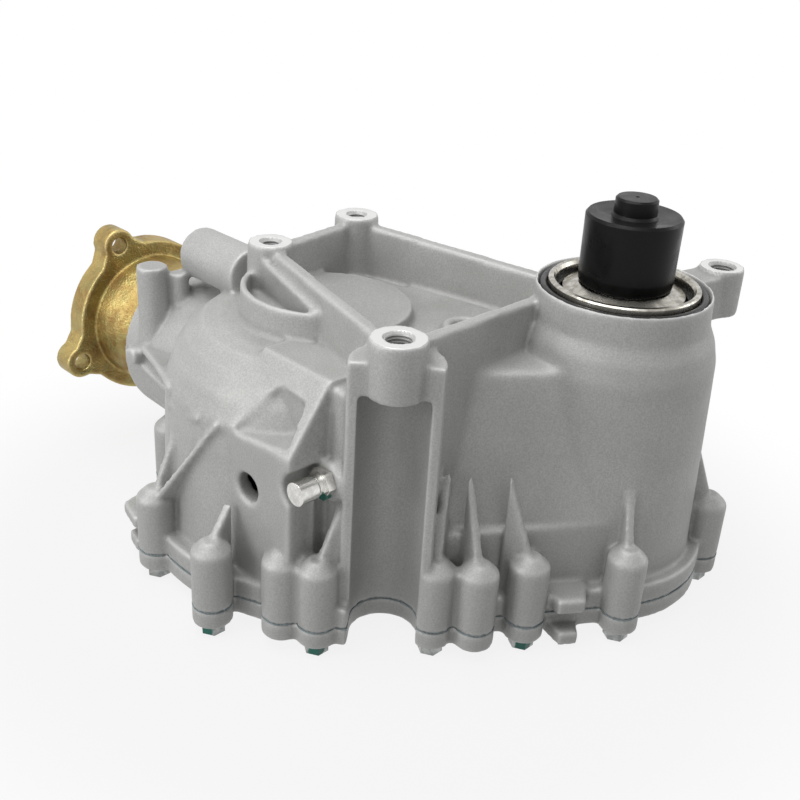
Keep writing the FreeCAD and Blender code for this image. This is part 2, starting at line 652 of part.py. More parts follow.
def cover():
    body = [flange_plate(COVER_FOOT, COVER_TOP).cut(joint_floor()),
            rod(INPUT_AXIS, INPUT_LOWER[1] + WALL, COVER_HUB_FOOT, INPUT_LOWER_AT + INPUT_LOWER[2] - 2),
            rod(TRANSFER_AXIS, TRANSFER_LOWER[1] + WALL, TRANSFER_LOWER_AT - WALL,
                TRANSFER_LOWER_AT + TRANSFER_LOWER[2] - 2),
            rod(IDLER_AXIS, IDLER_PIN_R + WALL, COVER_FOOT, GEAR_FOOT - IDLER_END_ROOM)]
    body.append(pry_tab(FRONT_TAB, FRONT_TAB_FACING, 18, 14, COVER_FOOT - 3, COVER_FOOT + 5))
    body.append(pry_tab(SIDE_TAB, SIDE_TAB_FACING, 22, 12, COVER_FOOT - 2, COVER_FOOT + 6))
    rib_ends = [point(TRANSFER_AXIS, RING_ROOM_R - 5, math.radians(bearing)) for bearing in (90, 200, 20)]
    for end in [INPUT_AXIS] + rib_ends:
        body.append(web(TRANSFER_AXIS, end, COVER_FOOT + 1, COVER_FOOT + 1, COVER_FOOT - 4, 6, 0))
    hollows = [rod(INPUT_AXIS, INPUT_LOWER[1] + SEAT, INPUT_LOWER_AT, -SPLIT_DROP + 30),
               rod(INPUT_AXIS, COVER_SEAL_R - 4, COVER_HUB_FOOT - 1, INPUT_LOWER_AT + 1),
               rod(INPUT_AXIS, COVER_SEAL_R + SEAT, COVER_HUB_FOOT - 1, COVER_HUB_FOOT + COVER_SEAL_WIDTH),
               rod(TRANSFER_AXIS, TRANSFER_LOWER[1] + SEAT, TRANSFER_LOWER_AT, -SPLIT_DROP + 30),
               rod(IDLER_AXIS, IDLER_PIN_R + SEAT, COVER_FOOT + 3, -SPLIT_DROP + 30),
               channel_cutter(COVER_HUB_FOOT - 10, -SPLIT_DROP + 1)]
    for place in cover_bolt_places():
        hollows.append(rod(place, BOLT_R + BOLT_AIR, COVER_BELOW, -SPLIT_DROP + 1))
        hollows.append(rod(place, BOLT_HEAD_R + 1.2, COVER_BELOW, COVER_FOOT + SPOT_DEPTH))
    for place in DOWEL_PLACES:
        hollows.append(rod(place, DOWEL_R + SEAT, COVER_TOP - DOWEL_LENGTH / 2 - 0.6, -SPLIT_DROP + 1))
    return fused(body).cut(hollows).removeSplitter()


def sealant_bead():
    channel = channel_cutter(COVER_TOP - 1, -SPLIT_DROP + 1)
    film = flange_plate(COVER_TOP, -SPLIT_DROP).cut([joint_floor(), channel])
    holes = [rod(place, BOLT_R + BOLT_AIR, COVER_TOP - 1, -SPLIT_DROP + 1) for place in cover_bolt_places()]
    holes += [rod(place, DOWEL_R + BOLT_AIR, COVER_TOP - 1, -SPLIT_DROP + 1) for place in DOWEL_PLACES]
    return film.cut(holes)


def hexagon(centre, flats, z_low, z_high):
    reach = flats / 2 / math.cos(math.pi / 6)
    corners = [point(at(centre, z_low), reach, math.radians(60 * k)) for k in range(6)]
    return face_of(corners).extrude(Vec(0, 0, z_high - z_low))


def cover_bolts():
    """Flange-head bolts, driven up through the cover into the case."""
    seat = COVER_FOOT + SPOT_DEPTH
    bolts = []
    for place in cover_bolt_places():
        bolts.append(fused([rod(place, BOLT_R, seat - 1, -SPLIT_DROP + BOLT_LENGTH - 8),
                            cone(place, BOLT_HEAD_R - 0.8, BOLT_HEAD_R, seat - 2, seat),
                            hexagon(place, BOLT_FLATS, seat - BOLT_HEAD_HEIGHT, seat - 1.5)]))
    return Part.Compound(bolts)


def cover_dowels():
    foot, top = COVER_TOP - DOWEL_LENGTH / 2, -SPLIT_DROP + DOWEL_LENGTH / 2
    return Part.Compound([tube(place, DOWEL_R, DOWEL_R - DOWEL_WALL, foot, top) for place in DOWEL_PLACES])


# Gears
def involute(angle):
    return math.tan(angle) - angle


def tooth_half_angle(radius, pitch_r, teeth, pressure, backlash):
    """Half the angle that a tooth spans at a radius; below the base circle it stays the same."""
    base = pitch_r * math.cos(pressure)
    flank = math.acos(min(1.0, base / radius))
    return math.pi / (2 * teeth) + involute(pressure) - involute(flank) - backlash / (4 * pitch_r)


def spur_gear(centre, teeth, phase, bore):
    pitch_r = SPUR_MODULE * teeth / 2
    root = pitch_r - SPUR_DEDENDUM * SPUR_MODULE
    tip = pitch_r + SPUR_ADDENDUM * SPUR_MODULE
    base = max(root, pitch_r * math.cos(SPUR_PRESSURE))
    corners = []
    for k in range(teeth):
        middle = phase + 2 * math.pi * k / teeth
        rising = []
        for radius in (root, base, pitch_r, tip):
            half = tooth_half_angle(max(radius, base), pitch_r, teeth, SPUR_PRESSURE, SPUR_BACKLASH)
            if radius > root or base > root:
                rising.append((radius, half))
        corners += [point(at(centre, GEAR_FOOT), radius, middle - half) for radius, half in rising]
        corners += [point(at(centre, GEAR_FOOT), radius, middle + half) for radius, half in reversed(rising)]
    gear = face_of(corners).extrude(Vec(0, 0, GEAR_WIDTH))
    return gear.cut(rod(centre, bore, GEAR_FOOT - 1, GEAR_FOOT + GEAR_WIDTH + 1))


def cone_point(angle, height, scale=1.0):
    """(radius, distance along the axis) of a point at a height above the pitch cone."""
    return (scale * (CONE_REACH * math.sin(angle) + height * math.cos(angle)),
            scale * (CONE_REACH * math.cos(angle) - height * math.sin(angle)))


def tooth_spaces(axis, first, teeth, angle, offset):
    """Pyramids from the apex, one per tooth space of a straight bevel gear."""
    pitch_r = CONE_REACH * math.sin(angle)
    flat_r = pitch_r / math.cos(angle)
    flat_teeth = teeth / math.cos(angle)
    base = flat_r * math.cos(BEVEL_PRESSURE)
    tip, root = BEVEL_ADDENDUM * BEVEL_MODULE, -BEVEL_DEDENDUM * BEVEL_MODULE
    reach = 1.2
    halves = []
    for height in (root, 0.0, tip + 1):
        radius = flat_r + height
        half = tooth_half_angle(max(radius, base), flat_r, flat_teeth, BEVEL_PRESSURE, BEVEL_BACKLASH)
        halves.append((height, radius * math.sin(math.pi / flat_teeth - half)))
    cutters = []
    for k in range(teeth):
        spin = FreeCAD.Rotation(axis, 360.0 * (k + offset) / teeth)
        outward = spin.multVec(first)
        side = axis.cross(outward)
        ray = axis * math.cos(angle) + outward * math.sin(angle)
        rise = outward * math.cos(angle) - axis * math.sin(angle)
        corners = [APEX + (ray * CONE_REACH + rise * h - side * w) * reach for h, w in halves]
        corners += [APEX + (ray * CONE_REACH + rise * h + side * w) * reach for h, w in reversed(halves)]
        faces = [face_of(corners)]
        for j in range(len(corners)):
            faces.append(face_of([corners[j], corners[(j + 1) % len(corners)], APEX]))
        cutter = Part.makeSolid(Part.makeShell(faces))
        cutters.append(cutter if cutter.Volume > 0 else cutter.reversed())
    return cutters


def ring_gear():
    tip, root = BEVEL_ADDENDUM * BEVEL_MODULE, BEVEL_DEDENDUM * BEVEL_MODULE
    back = -RING_BACK_DROP
    profile = [(RING_REGISTER_R, back - RING_WEB), (RING_WEB_R, back - RING_WEB)]
    for height, scale in ((-root - 3, HEEL_SCALE), (tip, HEEL_SCALE), (tip, 1), (-root - 4, 1)):
        radius, rise = cone_point(RING_ANGLE, height, scale)
        profile.append((radius, APEX.z + rise))
    profile += [(profile[-1][0] - 6, back), (RING_REGISTER_R, back)]
    blank = turned(TRANSFER_AXIS, profile)
    gear = blank.cut(tooth_spaces(UP, AHEAD, RING_TEETH, RING_ANGLE, 0))
    holes = [rod(place, RING_BOLT_R + SEAT, back - RING_WEB - 1, back + 1) for place in ring_bolt_places()]
    return gear.cut(holes)


def ring_bolt_places():
    return [point(TRANSFER_AXIS, RING_BOLT_CIRCLE_R, 2 * math.pi * k / RING_BOLTS) for k in range(RING_BOLTS)]


def ring_gear_bolts():
    head = -RING_BACK_DROP - RING_WEB
    bolts = []
    for place in ring_bolt_places():
        bolts.append(fused([rod(place, RING_HEAD_R, head - 5, head),
                            rod(place, RING_BOLT_R, head - 1, -RING_BACK_DROP + 4)]))
    return Part.Compound(bolts)


def transfer_shaft():
    top = -UPPER_HUB_DROP + TRANSFER_UPPER[2] - 0.5
    bearing_foot = -UPPER_HUB_DROP
    back = -RING_BACK_DROP
    upper_seat, lower_seat = TRANSFER_UPPER[0] - SEAT, TRANSFER_LOWER[0] - SEAT
    register = RING_REGISTER_R - SEAT
    profile = [(TRANSFER_BORE, top), (upper_seat, top), (upper_seat, bearing_foot),
               (SHAFT_FLANGE_R, bearing_foot), (SHAFT_FLANGE_R, back), (register, back),
               (register, back - RING_WEB + 2), (TRANSFER_BODY_R, back - RING_WEB),
               (TRANSFER_BODY_R, -GEAR_TOP_DROP), (TRANSFER_GEAR_SEAT_R, -GEAR_TOP_DROP),
               (TRANSFER_GEAR_SEAT_R, GEAR_FOOT), (lower_seat, GEAR_FOOT),
               (lower_seat, TRANSFER_LOWER_AT), (TRANSFER_BORE, TRANSFER_LOWER_AT)]
    holes = [rod(place, RING_BOLT_R + SEAT, back - 1, back + 4.5) for place in ring_bolt_places()]
    return turned(TRANSFER_AXIS, profile).cut(holes)


def pinion_gear():
    tip, root = BEVEL_ADDENDUM * BEVEL_MODULE, BEVEL_DEDENDUM * BEVEL_MODULE
    toe_in = cone_point(PINION_ANGLE, -root - 2, HEEL_SCALE)
    head_seat, tail_seat = PINION_HEAD[0] - SEAT, PINION_TAIL[0] - SEAT
    head_end, thread_end = PINION_HEAD_AT + PINION_HEAD[2], NUT_SEAT + NUT_HEIGHT + 3
    profile = [(0, toe_in[1]), toe_in, cone_point(PINION_ANGLE, tip, HEEL_SCALE),
               cone_point(PINION_ANGLE, tip), cone_point(PINION_ANGLE, -root - 1),
               (PINION_HEAD[0] + 4, PINION_HEAD_AT), (head_seat, PINION_HEAD_AT), (head_seat, head_end),
               (tail_seat, head_end), (tail_seat, HUB_START), (SPLINE_R, HUB_START),
               (SPLINE_R, NUT_SEAT - 1), (NUT_THREAD_R, NUT_SEAT - 1),
               (NUT_THREAD_R, thread_end), (0, thread_end)]
    return turned_ahead(profile).cut(tooth_spaces(AHEAD, UP, PINION_TEETH, PINION_ANGLE, 0.5))


# Bearings
def taper_bearing(sizes, count, place, direction):
    """Cup, cone and rollers; the big end of the rollers lies at the place, the small end ahead."""
    bore, outer, width = sizes
    middle = (bore + outer) / 2
    roller = 0.24 * (outer - bore)
    length = 0.66 * width
    axis_r, axis_z = -math.sin(TAPER), math.cos(TAPER)
    start_r, start_z = middle - axis_r * length / 2, width * 0.52 - axis_z * length / 2
    big, small = roller + length / 2 * math.tan(ROLLER_TAPER), roller - length / 2 * math.tan(ROLLER_TAPER)

    def race(sign, z):
        """Radius of the outer (+1) or inner (-1) raceway at a height."""
        r1, z1 = start_r + sign * axis_z * (big + RUNNING), start_z - sign * axis_r * (big + RUNNING)
        end_r, end_z = start_r + axis_r * length, start_z + axis_z * length
        r2, z2 = end_r + sign * axis_z * (small + RUNNING), end_z - sign * axis_r * (small + RUNNING)
        return r1 + (r2 - r1) * (z - z1) / (z2 - z1)

    rib = start_z + axis_r * big - 0.15
    cup = turned(Vec(0, 0, 0), [(outer, 0.1 * width), (outer, width), (race(1, width), width),
                                (race(1, 0.1 * width), 0.1 * width)])
    rib_r = race(-1, rib) + 0.8 * roller
    cone_ring = turned(Vec(0, 0, 0), [(bore, 0), (rib_r, 0), (rib_r, rib), (race(-1, rib), rib),
                                      (race(-1, 0.95 * width), 0.95 * width), (bore, 0.95 * width)])
    rollers = []
    for k in range(count):
        piece = Part.makeCone(big, small, length, Vec(start_r, 0, start_z), Vec(axis_r, 0, axis_z))
        piece.rotate(Vec(0, 0, 0), UP, 360.0 * k / count)
        rollers.append(piece)
    placing = FreeCAD.Placement(place, FreeCAD.Rotation(UP, direction))
    shapes = [cup, cone_ring, Part.Compound(rollers)]
    for shape in shapes:
        shape.Placement = placing
    return shapes


def bearings():
    """Cup, cone and rollers of every taper bearing, by the bearing's name."""
    return {
        "input_upper": taper_bearing(INPUT_UPPER, INPUT_ROLLERS, Vec(0, 0, INPUT_UPPER_AT), UP),
        "input_lower": taper_bearing(INPUT_LOWER, INPUT_ROLLERS,
                                     Vec(0, 0, INPUT_LOWER_AT + INPUT_LOWER[2]), DOWN),
        "transfer_upper": taper_bearing(TRANSFER_UPPER, TRANSFER_ROLLERS,
                                        at(TRANSFER_AXIS, -UPPER_HUB_DROP), UP),
        "transfer_lower": taper_bearing(TRANSFER_LOWER, TRANSFER_ROLLERS,
                                        at(TRANSFER_AXIS, TRANSFER_LOWER_AT + TRANSFER_LOWER[2]), DOWN),
        "pinion_head": taper_bearing(PINION_HEAD, PINION_ROLLERS, APEX + Vec(0, PINION_HEAD_AT, 0), AHEAD),
        "pinion_tail": taper_bearing(PINION_TAIL, PINION_ROLLERS, APEX + Vec(0, HUB_START, 0), BACK),
    }


# Input shaft and what sits on it
def splined_end(centre, crest, root, teeth, z_low, z_high):
    corners = []
    step = 2 * math.pi / teeth
    for k in range(teeth):
        for share, radius in ((-0.28, crest), (0.28, crest), (0.38, root), (0.62, root)):
            corners.append(point(at(centre, z_low), radius, (k + share) * step))
    return face_of(corners).extrude(Vec(0, 0, z_high - z_low))


def input_shaft():
    end = COVER_HUB_FOOT + 1
    upper_seat, lower_seat = INPUT_UPPER[0] - SEAT, INPUT_LOWER[0] - SEAT
    collar = INPUT_GEAR_SEAT_R + 2.5
    profile = [(SHAFT_BORE, 1), (SEAL_JOURNAL_R, 1), (SEAL_JOURNAL_R, -PILOT_DEPTH),
               (upper_seat, -PILOT_DEPTH), (upper_seat, INPUT_UPPER_AT), (INPUT_BODY_R, INPUT_UPPER_AT),
               (INPUT_BODY_R, -GEAR_TOP_DROP),
               (INPUT_GEAR_SEAT_R, -GEAR_TOP_DROP), (INPUT_GEAR_SEAT_R, GEAR_FOOT), (collar, GEAR_FOOT),
               (collar, GEAR_FOOT - 2), (lower_seat, GEAR_FOOT - 2), (lower_seat, INPUT_LOWER_AT),
               (LOWER_JOURNAL_R, INPUT_LOWER_AT), (LOWER_JOURNAL_R, end), (SHAFT_BORE, end)]
    body = turned(INPUT_AXIS, profile)
    root = SHAFT_SPLINE_R - SHAFT_SPLINE_DEPTH
    spline = splined_end(INPUT_AXIS, SHAFT_SPLINE_R, root, SHAFT_SPLINES, 0, SHAFT_TOP)
    return fused([body, spline.cut(rod(INPUT_AXIS, SHAFT_BORE, -1, SHAFT_TOP + 1))])


def input_slinger():
    inner = SEAL_JOURNAL_R + SEAT
    return turned(INPUT_AXIS, [(inner, 0.8), (inner + 2.5, 0.8), (SLINGER_R, -2.4), (SLINGER_R, -4),
                               (inner + 2, -1.5), (inner, -3.5)])


def lip_seal(outer, inner, z_low, z_high):
    """Profile of a lip seal with a metal-backed rim and a sloping lip."""
    middle = (z_low + z_high) / 2
    return [(outer, z_low), (outer, z_high), (outer - 2, z_high), (outer - 2, z_low + 1.6),
            (inner + 3, z_low + 1.6), (inner, middle + 1), (inner, middle - 1), (inner + 3, z_low)]


def input_seal():
    return turned(INPUT_AXIS, lip_seal(PILOT_BORE - SEAT, SEAL_JOURNAL_R + RUNNING, -PILOT_DEPTH + 0.5, -5))


def cover_seal():
    foot = COVER_HUB_FOOT + 0.5
    top = foot + COVER_SEAL_WIDTH - 1.5
    return turned(INPUT_AXIS, lip_seal(COVER_SEAL_R - SEAT, LOWER_JOURNAL_R + RUNNING, foot, top))


def pilot_ring():
    foot = -PILOT_DEPTH + 0.1
    return turned(INPUT_AXIS, [(PILOT_BORE, foot), (PILOT_R, foot), (PILOT_R, PILOT_STAND - 0.8),
                               (PILOT_R - 0.8, PILOT_STAND), (PILOT_BORE + 1.2, PILOT_STAND),
                               (PILOT_BORE, PILOT_STAND - 2)])


def pilot_o_ring():
    lift = -O_RING_GROOVE_DEPTH + O_RING_SECTION + SEAT
    return Part.makeTorus(O_RING_CENTRE_R, O_RING_SECTION, Vec(0, 0, lift), UP)


def shaft_cap():
    inner = SHAFT_SPLINE_R + 0.1
    profile = [(inner, CAP_FOOT), (CAP_R - 1.4, CAP_FOOT), (CAP_R - 0.4, CAP_FOOT + 1.2), (CAP_R, 8),
               (CAP_R + 0.2, CAP_TOP - 1.5),
               (CAP_R - 1, CAP_TOP), (CAP_KNOB_R + 1.2, CAP_TOP - 1), (CAP_KNOB_R, CAP_TOP + 0.5),
               (CAP_KNOB_R - 0.2, CAP_KNOB_TOP - 1), (CAP_KNOB_R - 1.2, CAP_KNOB_TOP), (1.1, CAP_KNOB_TOP),
               (0.9, CAP_KNOB_TOP - 4), (0, CAP_KNOB_TOP - 4), (0, SHAFT_TOP + 0.3), (inner, SHAFT_TOP + 0.3)]
    return turned(INPUT_AXIS, profile)


# Idler
def idler_shaft():
    return rod(IDLER_AXIS, IDLER_PIN_R, COVER_FOOT + 3.2, -IDLER_BAR_TOP_DROP - 4.5)


def idler_needles():
    reach = IDLER_PIN_R + RUNNING + NEEDLE_R
    return Part.Compound([rod(point(IDLER_AXIS, reach, 2 * math.pi * k / NEEDLES), NEEDLE_R, GEAR_FOOT + 1.5,
                              GEAR_FOOT + GEAR_WIDTH - 1.5) for k in range(NEEDLES)])


def idler_washers():
    below, above = GEAR_FOOT - END_FLOAT, GEAR_FOOT + GEAR_WIDTH + END_FLOAT
    inner = IDLER_PIN_R + 0.2
    return Part.Compound([tube(IDLER_AXIS, WASHER_R, inner, below - WASHER, below),
                          tube(IDLER_AXIS, WASHER_R, inner, above, above + WASHER)])


# Output flange and what holds it
def flange_ear_angles():
    return [FLANGE_EAR_START + 2 * math.pi * k / FLANGE_EARS for k in range(FLANGE_EARS)]


def output_flange():
    face = FLANGE_START + FLANGE_THICKNESS
    hub = [(SPLINE_R + SEAT, HUB_START), (FLANGE_HUB_R, HUB_START), (FLANGE_HUB_R, 140), (28, 142), (34, 152),
           (FLANGE_BELL_R - 3.5, 164), (FLANGE_BELL_R - 1, 174), (FLANGE_BELL_R, FLANGE_START),
           (FLANGE_RING_R, FLANGE_START), (FLANGE_RING_R, face), (FLANGE_RECESS_R, face),
           (FLANGE_RECESS_R, face - 5), (30, face - 8), (23, NUT_SEAT), (SPLINE_R + SEAT, NUT_SEAT)]
    pieces = [turned_ahead(hub)]
    hub_ring = rod_ahead(FLANGE_RECESS_R + 2, FLANGE_START - 1, face + 1)
    for angle in flange_ear_angles():
        out = Vec(math.cos(angle), 0, math.sin(angle))
        side = Vec(-out.z, 0, out.x)
        base = APEX + Vec(0, FLANGE_START, 0)
        root = base + out * (FLANGE_RING_R - 11)
        ear = base + out * FLANGE_BOLT_CIRCLE_R
        half = FLANGE_EAR_R * 0.98
        plate = face_of([root - side * 24, ear - side * half, ear + side * half, root + side * 24])
        pieces.append(plate.extrude(Vec(0, FLANGE_THICKNESS, 0)).cut(hub_ring))
        pieces.append(Part.makeCylinder(FLANGE_EAR_R, FLANGE_THICKNESS, ear, AHEAD))
    knob_r = FLANGE_BELL_R - FLANGE_KNOB_R
    swing = FLANGE_KNOB_ANGLE
    knob = APEX + Vec(knob_r * math.cos(swing), FLANGE_START - 19.5, knob_r * math.sin(swing))
    pieces.append(Part.makeCylinder(FLANGE_KNOB_R, 20, knob, AHEAD))
    holes = [Part.makeCylinder(FLANGE_HOLE_R, FLANGE_THICKNESS + 2, place - Vec(0, 1, 0), AHEAD)
             for place in flange_hole_places()]
    return fused(pieces).cut(holes)


def flange_hole_places():
    reach = FLANGE_BOLT_CIRCLE_R
    return [APEX + Vec(reach * math.cos(a), FLANGE_START, reach * math.sin(a)) for a in flange_ear_angles()]


def flange_deflector():
    inner, outer = FLANGE_HUB_R + SEAT, PINION_TAIL[1] + 2
    start = SNOUT_END - 1.3
    return turned_ahead([(inner, start), (inner + 2, start), (inner + 4, start + 2), (outer, start + 2),
                         (outer, start + 3.2), (inner, start + 2.6)])


def pinion_spacer():
    start = PINION_HEAD_AT + PINION_HEAD[2]
    return turned_ahead([(PINION_TAIL[0] + SEAT, start + 0.1), (PINION_TAIL[0] + 3, start + 0.1),
                         (PINION_TAIL[0] + 4.5, start + 4), (PINION_TAIL[0] + 3, PINION_TAIL_AT - 0.1),
                         (PINION_TAIL[0] + SEAT, PINION_TAIL_AT - 0.1)])


def pinion_seal():
    start = HUB_START + 2
    return turned_ahead(lip_seal(PINION_TAIL[1] - SEAT, FLANGE_HUB_R + RUNNING, start, SNOUT_END - 2))


def pinion_nut():
    origin = Vec(0, 0, 0)
    nut = hexagon(origin, NUT_FLATS, 0, NUT_HEIGHT - 2).fuse(rod(origin, NUT_WASHER_R, -2, 1))
    nut = nut.cut(rod(origin, NUT_THREAD_R + SEAT, -3, NUT_HEIGHT + 1)).removeSplitter()
    nut.Placement = FreeCAD.Placement(APEX + Vec(0, NUT_SEAT + 2.05, 0), FreeCAD.Rotation(UP, AHEAD))
    return nut


# Vent
def vent_body():
    stem = ahead_x(VENT_CENTRE, VENT_STEM_R, VENT_SEAT_X, VENT_SEAT_X + VENT_STEM_LENGTH)
    stub = ahead_x(VENT_CENTRE, 4.4, VENT_SEAT_X - 17, VENT_SEAT_X)
    neck = ahead_x(VENT_CENTRE, 5.6, VENT_SEAT_X - 8, VENT_SEAT_X)
    reach = VENT_FLATS / 2 / math.cos(math.pi / 6)
    corners = [Vec(VENT_SEAT_X - 5, VENT_CENTRE.y + reach * math.cos(math.radians(60 * k)),
                   VENT_CENTRE.z + reach * math.sin(math.radians(60 * k))) for k in range(6)]
    nut = face_of(corners).extrude(Vec(5, 0, 0))
    bore = ahead_x(VENT_CENTRE, 1.5, VENT_SEAT_X - 18, VENT_SEAT_X + VENT_STEM_LENGTH + 1)
    return fused([stem, stub, neck, nut]).cut(bore)


def vent_cap():
    end = VENT_SEAT_X - 20
    shell = ahead_x(VENT_CENTRE, VENT_CAP_R, end, VENT_SEAT_X - 9)
    return shell.cut(ahead_x(VENT_CENTRE, 4.6, end + 1.6, VENT_SEAT_X))


def parts():
    pieces = {"main_case": main_case(), "cover": cover(), "sealant_bead": sealant_bead(),
              "cover_bolts": cover_bolts(), "cover_dowels": cover_dowels(), "input_shaft": input_shaft(),
              "input_slinger": input_slinger(), "input_seal": input_seal(), "cover_seal": cover_seal(),
              "pilot_ring": pilot_ring(), "pilot_o_ring": pilot_o_ring(), "shaft_cap": shaft_cap(),
              "idler_shaft": idler_shaft(), "idler_needles": idler_needles(),
              "idler_washers": idler_washers(), "transfer_shaft": transfer_shaft(),
              "ring_gear": ring_gear(), "ring_gear_bolts": ring_gear_bolts(),
              "pinion_gear": pinion_gear(), "pinion_spacer": pinion_spacer(),
              "pinion_seal": pinion_seal(), "pinion_nut": pinion_nut(), "output_flange": output_flange(),
              "flange_deflector": flange_deflector(), "vent_body": vent_body(), "vent_cap": vent_cap()}
    pieces["input_gear"] = spur_gear(INPUT_AXIS, INPUT_TEETH, INPUT_PHASE, INPUT_GEAR_SEAT_R + SEAT)
    pieces["idler_gear"] = spur_gear(IDLER_AXIS, IDLER_TEETH, IDLER_PHASE, IDLER_BORE)
    pieces["transfer_gear"] = spur_gear(TRANSFER_AXIS, TRANSFER_TEETH, TRANSFER_PHASE,
                                        TRANSFER_GEAR_SEAT_R + SEAT)
    for name, (cup, cone_ring, rollers) in bearings().items():
        pieces[name + "_cup"] = cup
        pieces[name + "_cone"] = cone_ring
        pieces[name + "_rollers"] = rollers
    return pieces


os.makedirs("parts", exist_ok=True)
for name, shape in parts().items():
    shape.exportStep("parts/" + name + ".step")
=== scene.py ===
import json
import math

import bmesh
import bpy
import numpy as np
from mathutils import Matrix, Vector


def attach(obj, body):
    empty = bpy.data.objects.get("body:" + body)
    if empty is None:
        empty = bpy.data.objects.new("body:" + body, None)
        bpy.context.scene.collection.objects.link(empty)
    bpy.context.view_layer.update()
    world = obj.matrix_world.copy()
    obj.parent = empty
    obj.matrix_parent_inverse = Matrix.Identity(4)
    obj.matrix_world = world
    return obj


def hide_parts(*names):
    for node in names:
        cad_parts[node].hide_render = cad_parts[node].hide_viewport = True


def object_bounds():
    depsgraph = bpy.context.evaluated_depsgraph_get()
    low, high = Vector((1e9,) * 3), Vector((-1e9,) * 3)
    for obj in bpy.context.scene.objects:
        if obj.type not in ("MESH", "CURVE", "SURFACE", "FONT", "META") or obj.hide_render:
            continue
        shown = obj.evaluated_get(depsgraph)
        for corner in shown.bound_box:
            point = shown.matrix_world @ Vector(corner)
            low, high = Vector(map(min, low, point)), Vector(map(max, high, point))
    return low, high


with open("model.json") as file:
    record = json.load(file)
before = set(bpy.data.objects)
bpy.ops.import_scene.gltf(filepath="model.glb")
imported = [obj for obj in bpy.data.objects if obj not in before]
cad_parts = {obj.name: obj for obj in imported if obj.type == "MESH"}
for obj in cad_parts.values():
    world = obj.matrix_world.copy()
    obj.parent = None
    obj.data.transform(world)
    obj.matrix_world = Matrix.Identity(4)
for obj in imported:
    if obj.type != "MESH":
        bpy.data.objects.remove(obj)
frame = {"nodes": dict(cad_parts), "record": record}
cad_low, cad_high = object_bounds()

# Sizes in metres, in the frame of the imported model
MM = 0.001
SPLIT_HEIGHT = -164.0 * MM
COVER_TOP = -164.4 * MM

# Castings: size of the even cells, rounds of relaxing, and further rounds where the casting is softer;
# then the share of the way that a vertex moves in a round, and how steeply a soft place sets in
CASE_VOXEL = 1.35 * MM
FLANGE_VOXEL = 0.8 * MM
CASE_ROUNDS = 4
COVER_ROUNDS = 3
FLANGE_ROUNDS = 4
SOFT_ROUNDS = 24
RELAX_STRENGTH = 0.5
SOFT_FADE = 1.6

# The four mounting bosses and the lip of the input mouth, cut in one plane at height 0:
# centre and radius in millimetres
MACHINED_CENTRES = [(-109.0, 168.0, 14.5), (-33.0, 178.0, 15.0), (-147.0, 24.0, 16.0),
                    (74.4, -16.0, 14.0), (0.0, 0.0, 49.5)]

# Turns of thread in the two tapped bosses and of tool marks in the two through holes:
# centre, radius of the crest and radius of the root in millimetres, as is the backing, which is how far
# the rings reach into the casting; pitch and start are in metres
THREADED_BOSSES = [((-109.0, 168.0), 4.9, 5.45), ((-33.0, 178.0), 4.9, 5.45),
                   ((-147.0, 24.0), 6.45, 6.85), ((74.4, -16.0), 6.45, 6.85)]
THREAD_PITCH = 1.75 * MM
THREAD_TURNS = 14
THREAD_START = -1.0 * MM
THREAD_BACKING = 0.4
THREAD_SIDES = 48

# Rim of the platform round the left boss, which is laid on the solid of the case: millimetres and degrees
PLATFORM_CENTRE = (-99.33, 129.55)
PLATFORM_RIM_R = 46.6
PLATFORM_RIM_ARC = (104, 229)
RIM_STEPS = 32
RIM_CREST = -16.0
RIM_FOOT = -36.0
RIM_WIDTH = 5.0

# Further fins that are laid on it: points of the crest, points of the foot and width in millimetres
GUSSET = ([(-119.0, 161.0, -7.0), (-134.0, 97.0, -14.0)],
          [(-117.0, 161.0, -34.0), (-130.0, 97.0, -34.0)], 5.0)
SIDE_FIN = ([(-203.0, 153.0, -128.0), (-190.5, 111.0, -67.0)],
            [(-182.0, 150.0, -134.0), (-176.0, 108.0, -78.0)], 5.0)
SNOUT_RIB = ([(-151.0, 244.0, -83.0), (-168.0, 203.0, -74.0), (-185.0, 164.0, -67.0)],
             [(-135.0, 242.0, -88.0), (-145.0, 203.0, -80.0), (-160.0, 164.0, -75.0)], 6.0)
SNOUT_RIB_STEP = ([(-185.0, 164.0, -67.0), (-185.5, 165.0, -79.0)],
                  [(-160.0, 160.0, -69.0), (-160.0, 161.0, -80.0)], 6.0)
SNOUT_RIB_END = ([(-185.5, 166.0, -78.0), (-191.5, 127.0, -70.5)],
                 [(-165.0, 163.0, -83.0), (-175.0, 125.0, -76.0)], 6.0)
FIN_TAPER = 0.7

# Places of the casting that blend more softly than its solid: centre and reach in millimetres
SOFT_PLACES = {"main_case": [((-74.0, 10.0, -36.0), 34.0), ((-172.0, 104.0, -50.0), 22.0),
                             ((-98.0, 14.0, -32.0), 16.0)]}

# Colours of the casting, with a painted highlight for outer edges and a painted shade for inner corners, and
# the height under which it gets darker towards the split
CAST_DULL = (0.44, 0.44, 0.43)
CAST_PALE = (0.52, 0.52, 0.51)
CAST_SPECKLE = (0.27, 0.27, 0.265)
CAST_STAIN = (0.30, 0.285, 0.25)
CAST_LOW_DARK = (0.21, 0.205, 0.19)
# Painted highlight laid along the outer edges of the casting
CAST_EDGE_HIGHLIGHT = (0.66, 0.66, 0.65)
# Painted shade laid as a darker line in the inner corners of the casting
CAST_CORNER_SHADE = (0.16, 0.16, 0.155)
CAST_CUT = (0.78, 0.78, 0.77)
DARKENING_TOP = -110.0 * MM
DARKENING_SHARE = 0.28
CUT_PITCH = 0.45 * MM

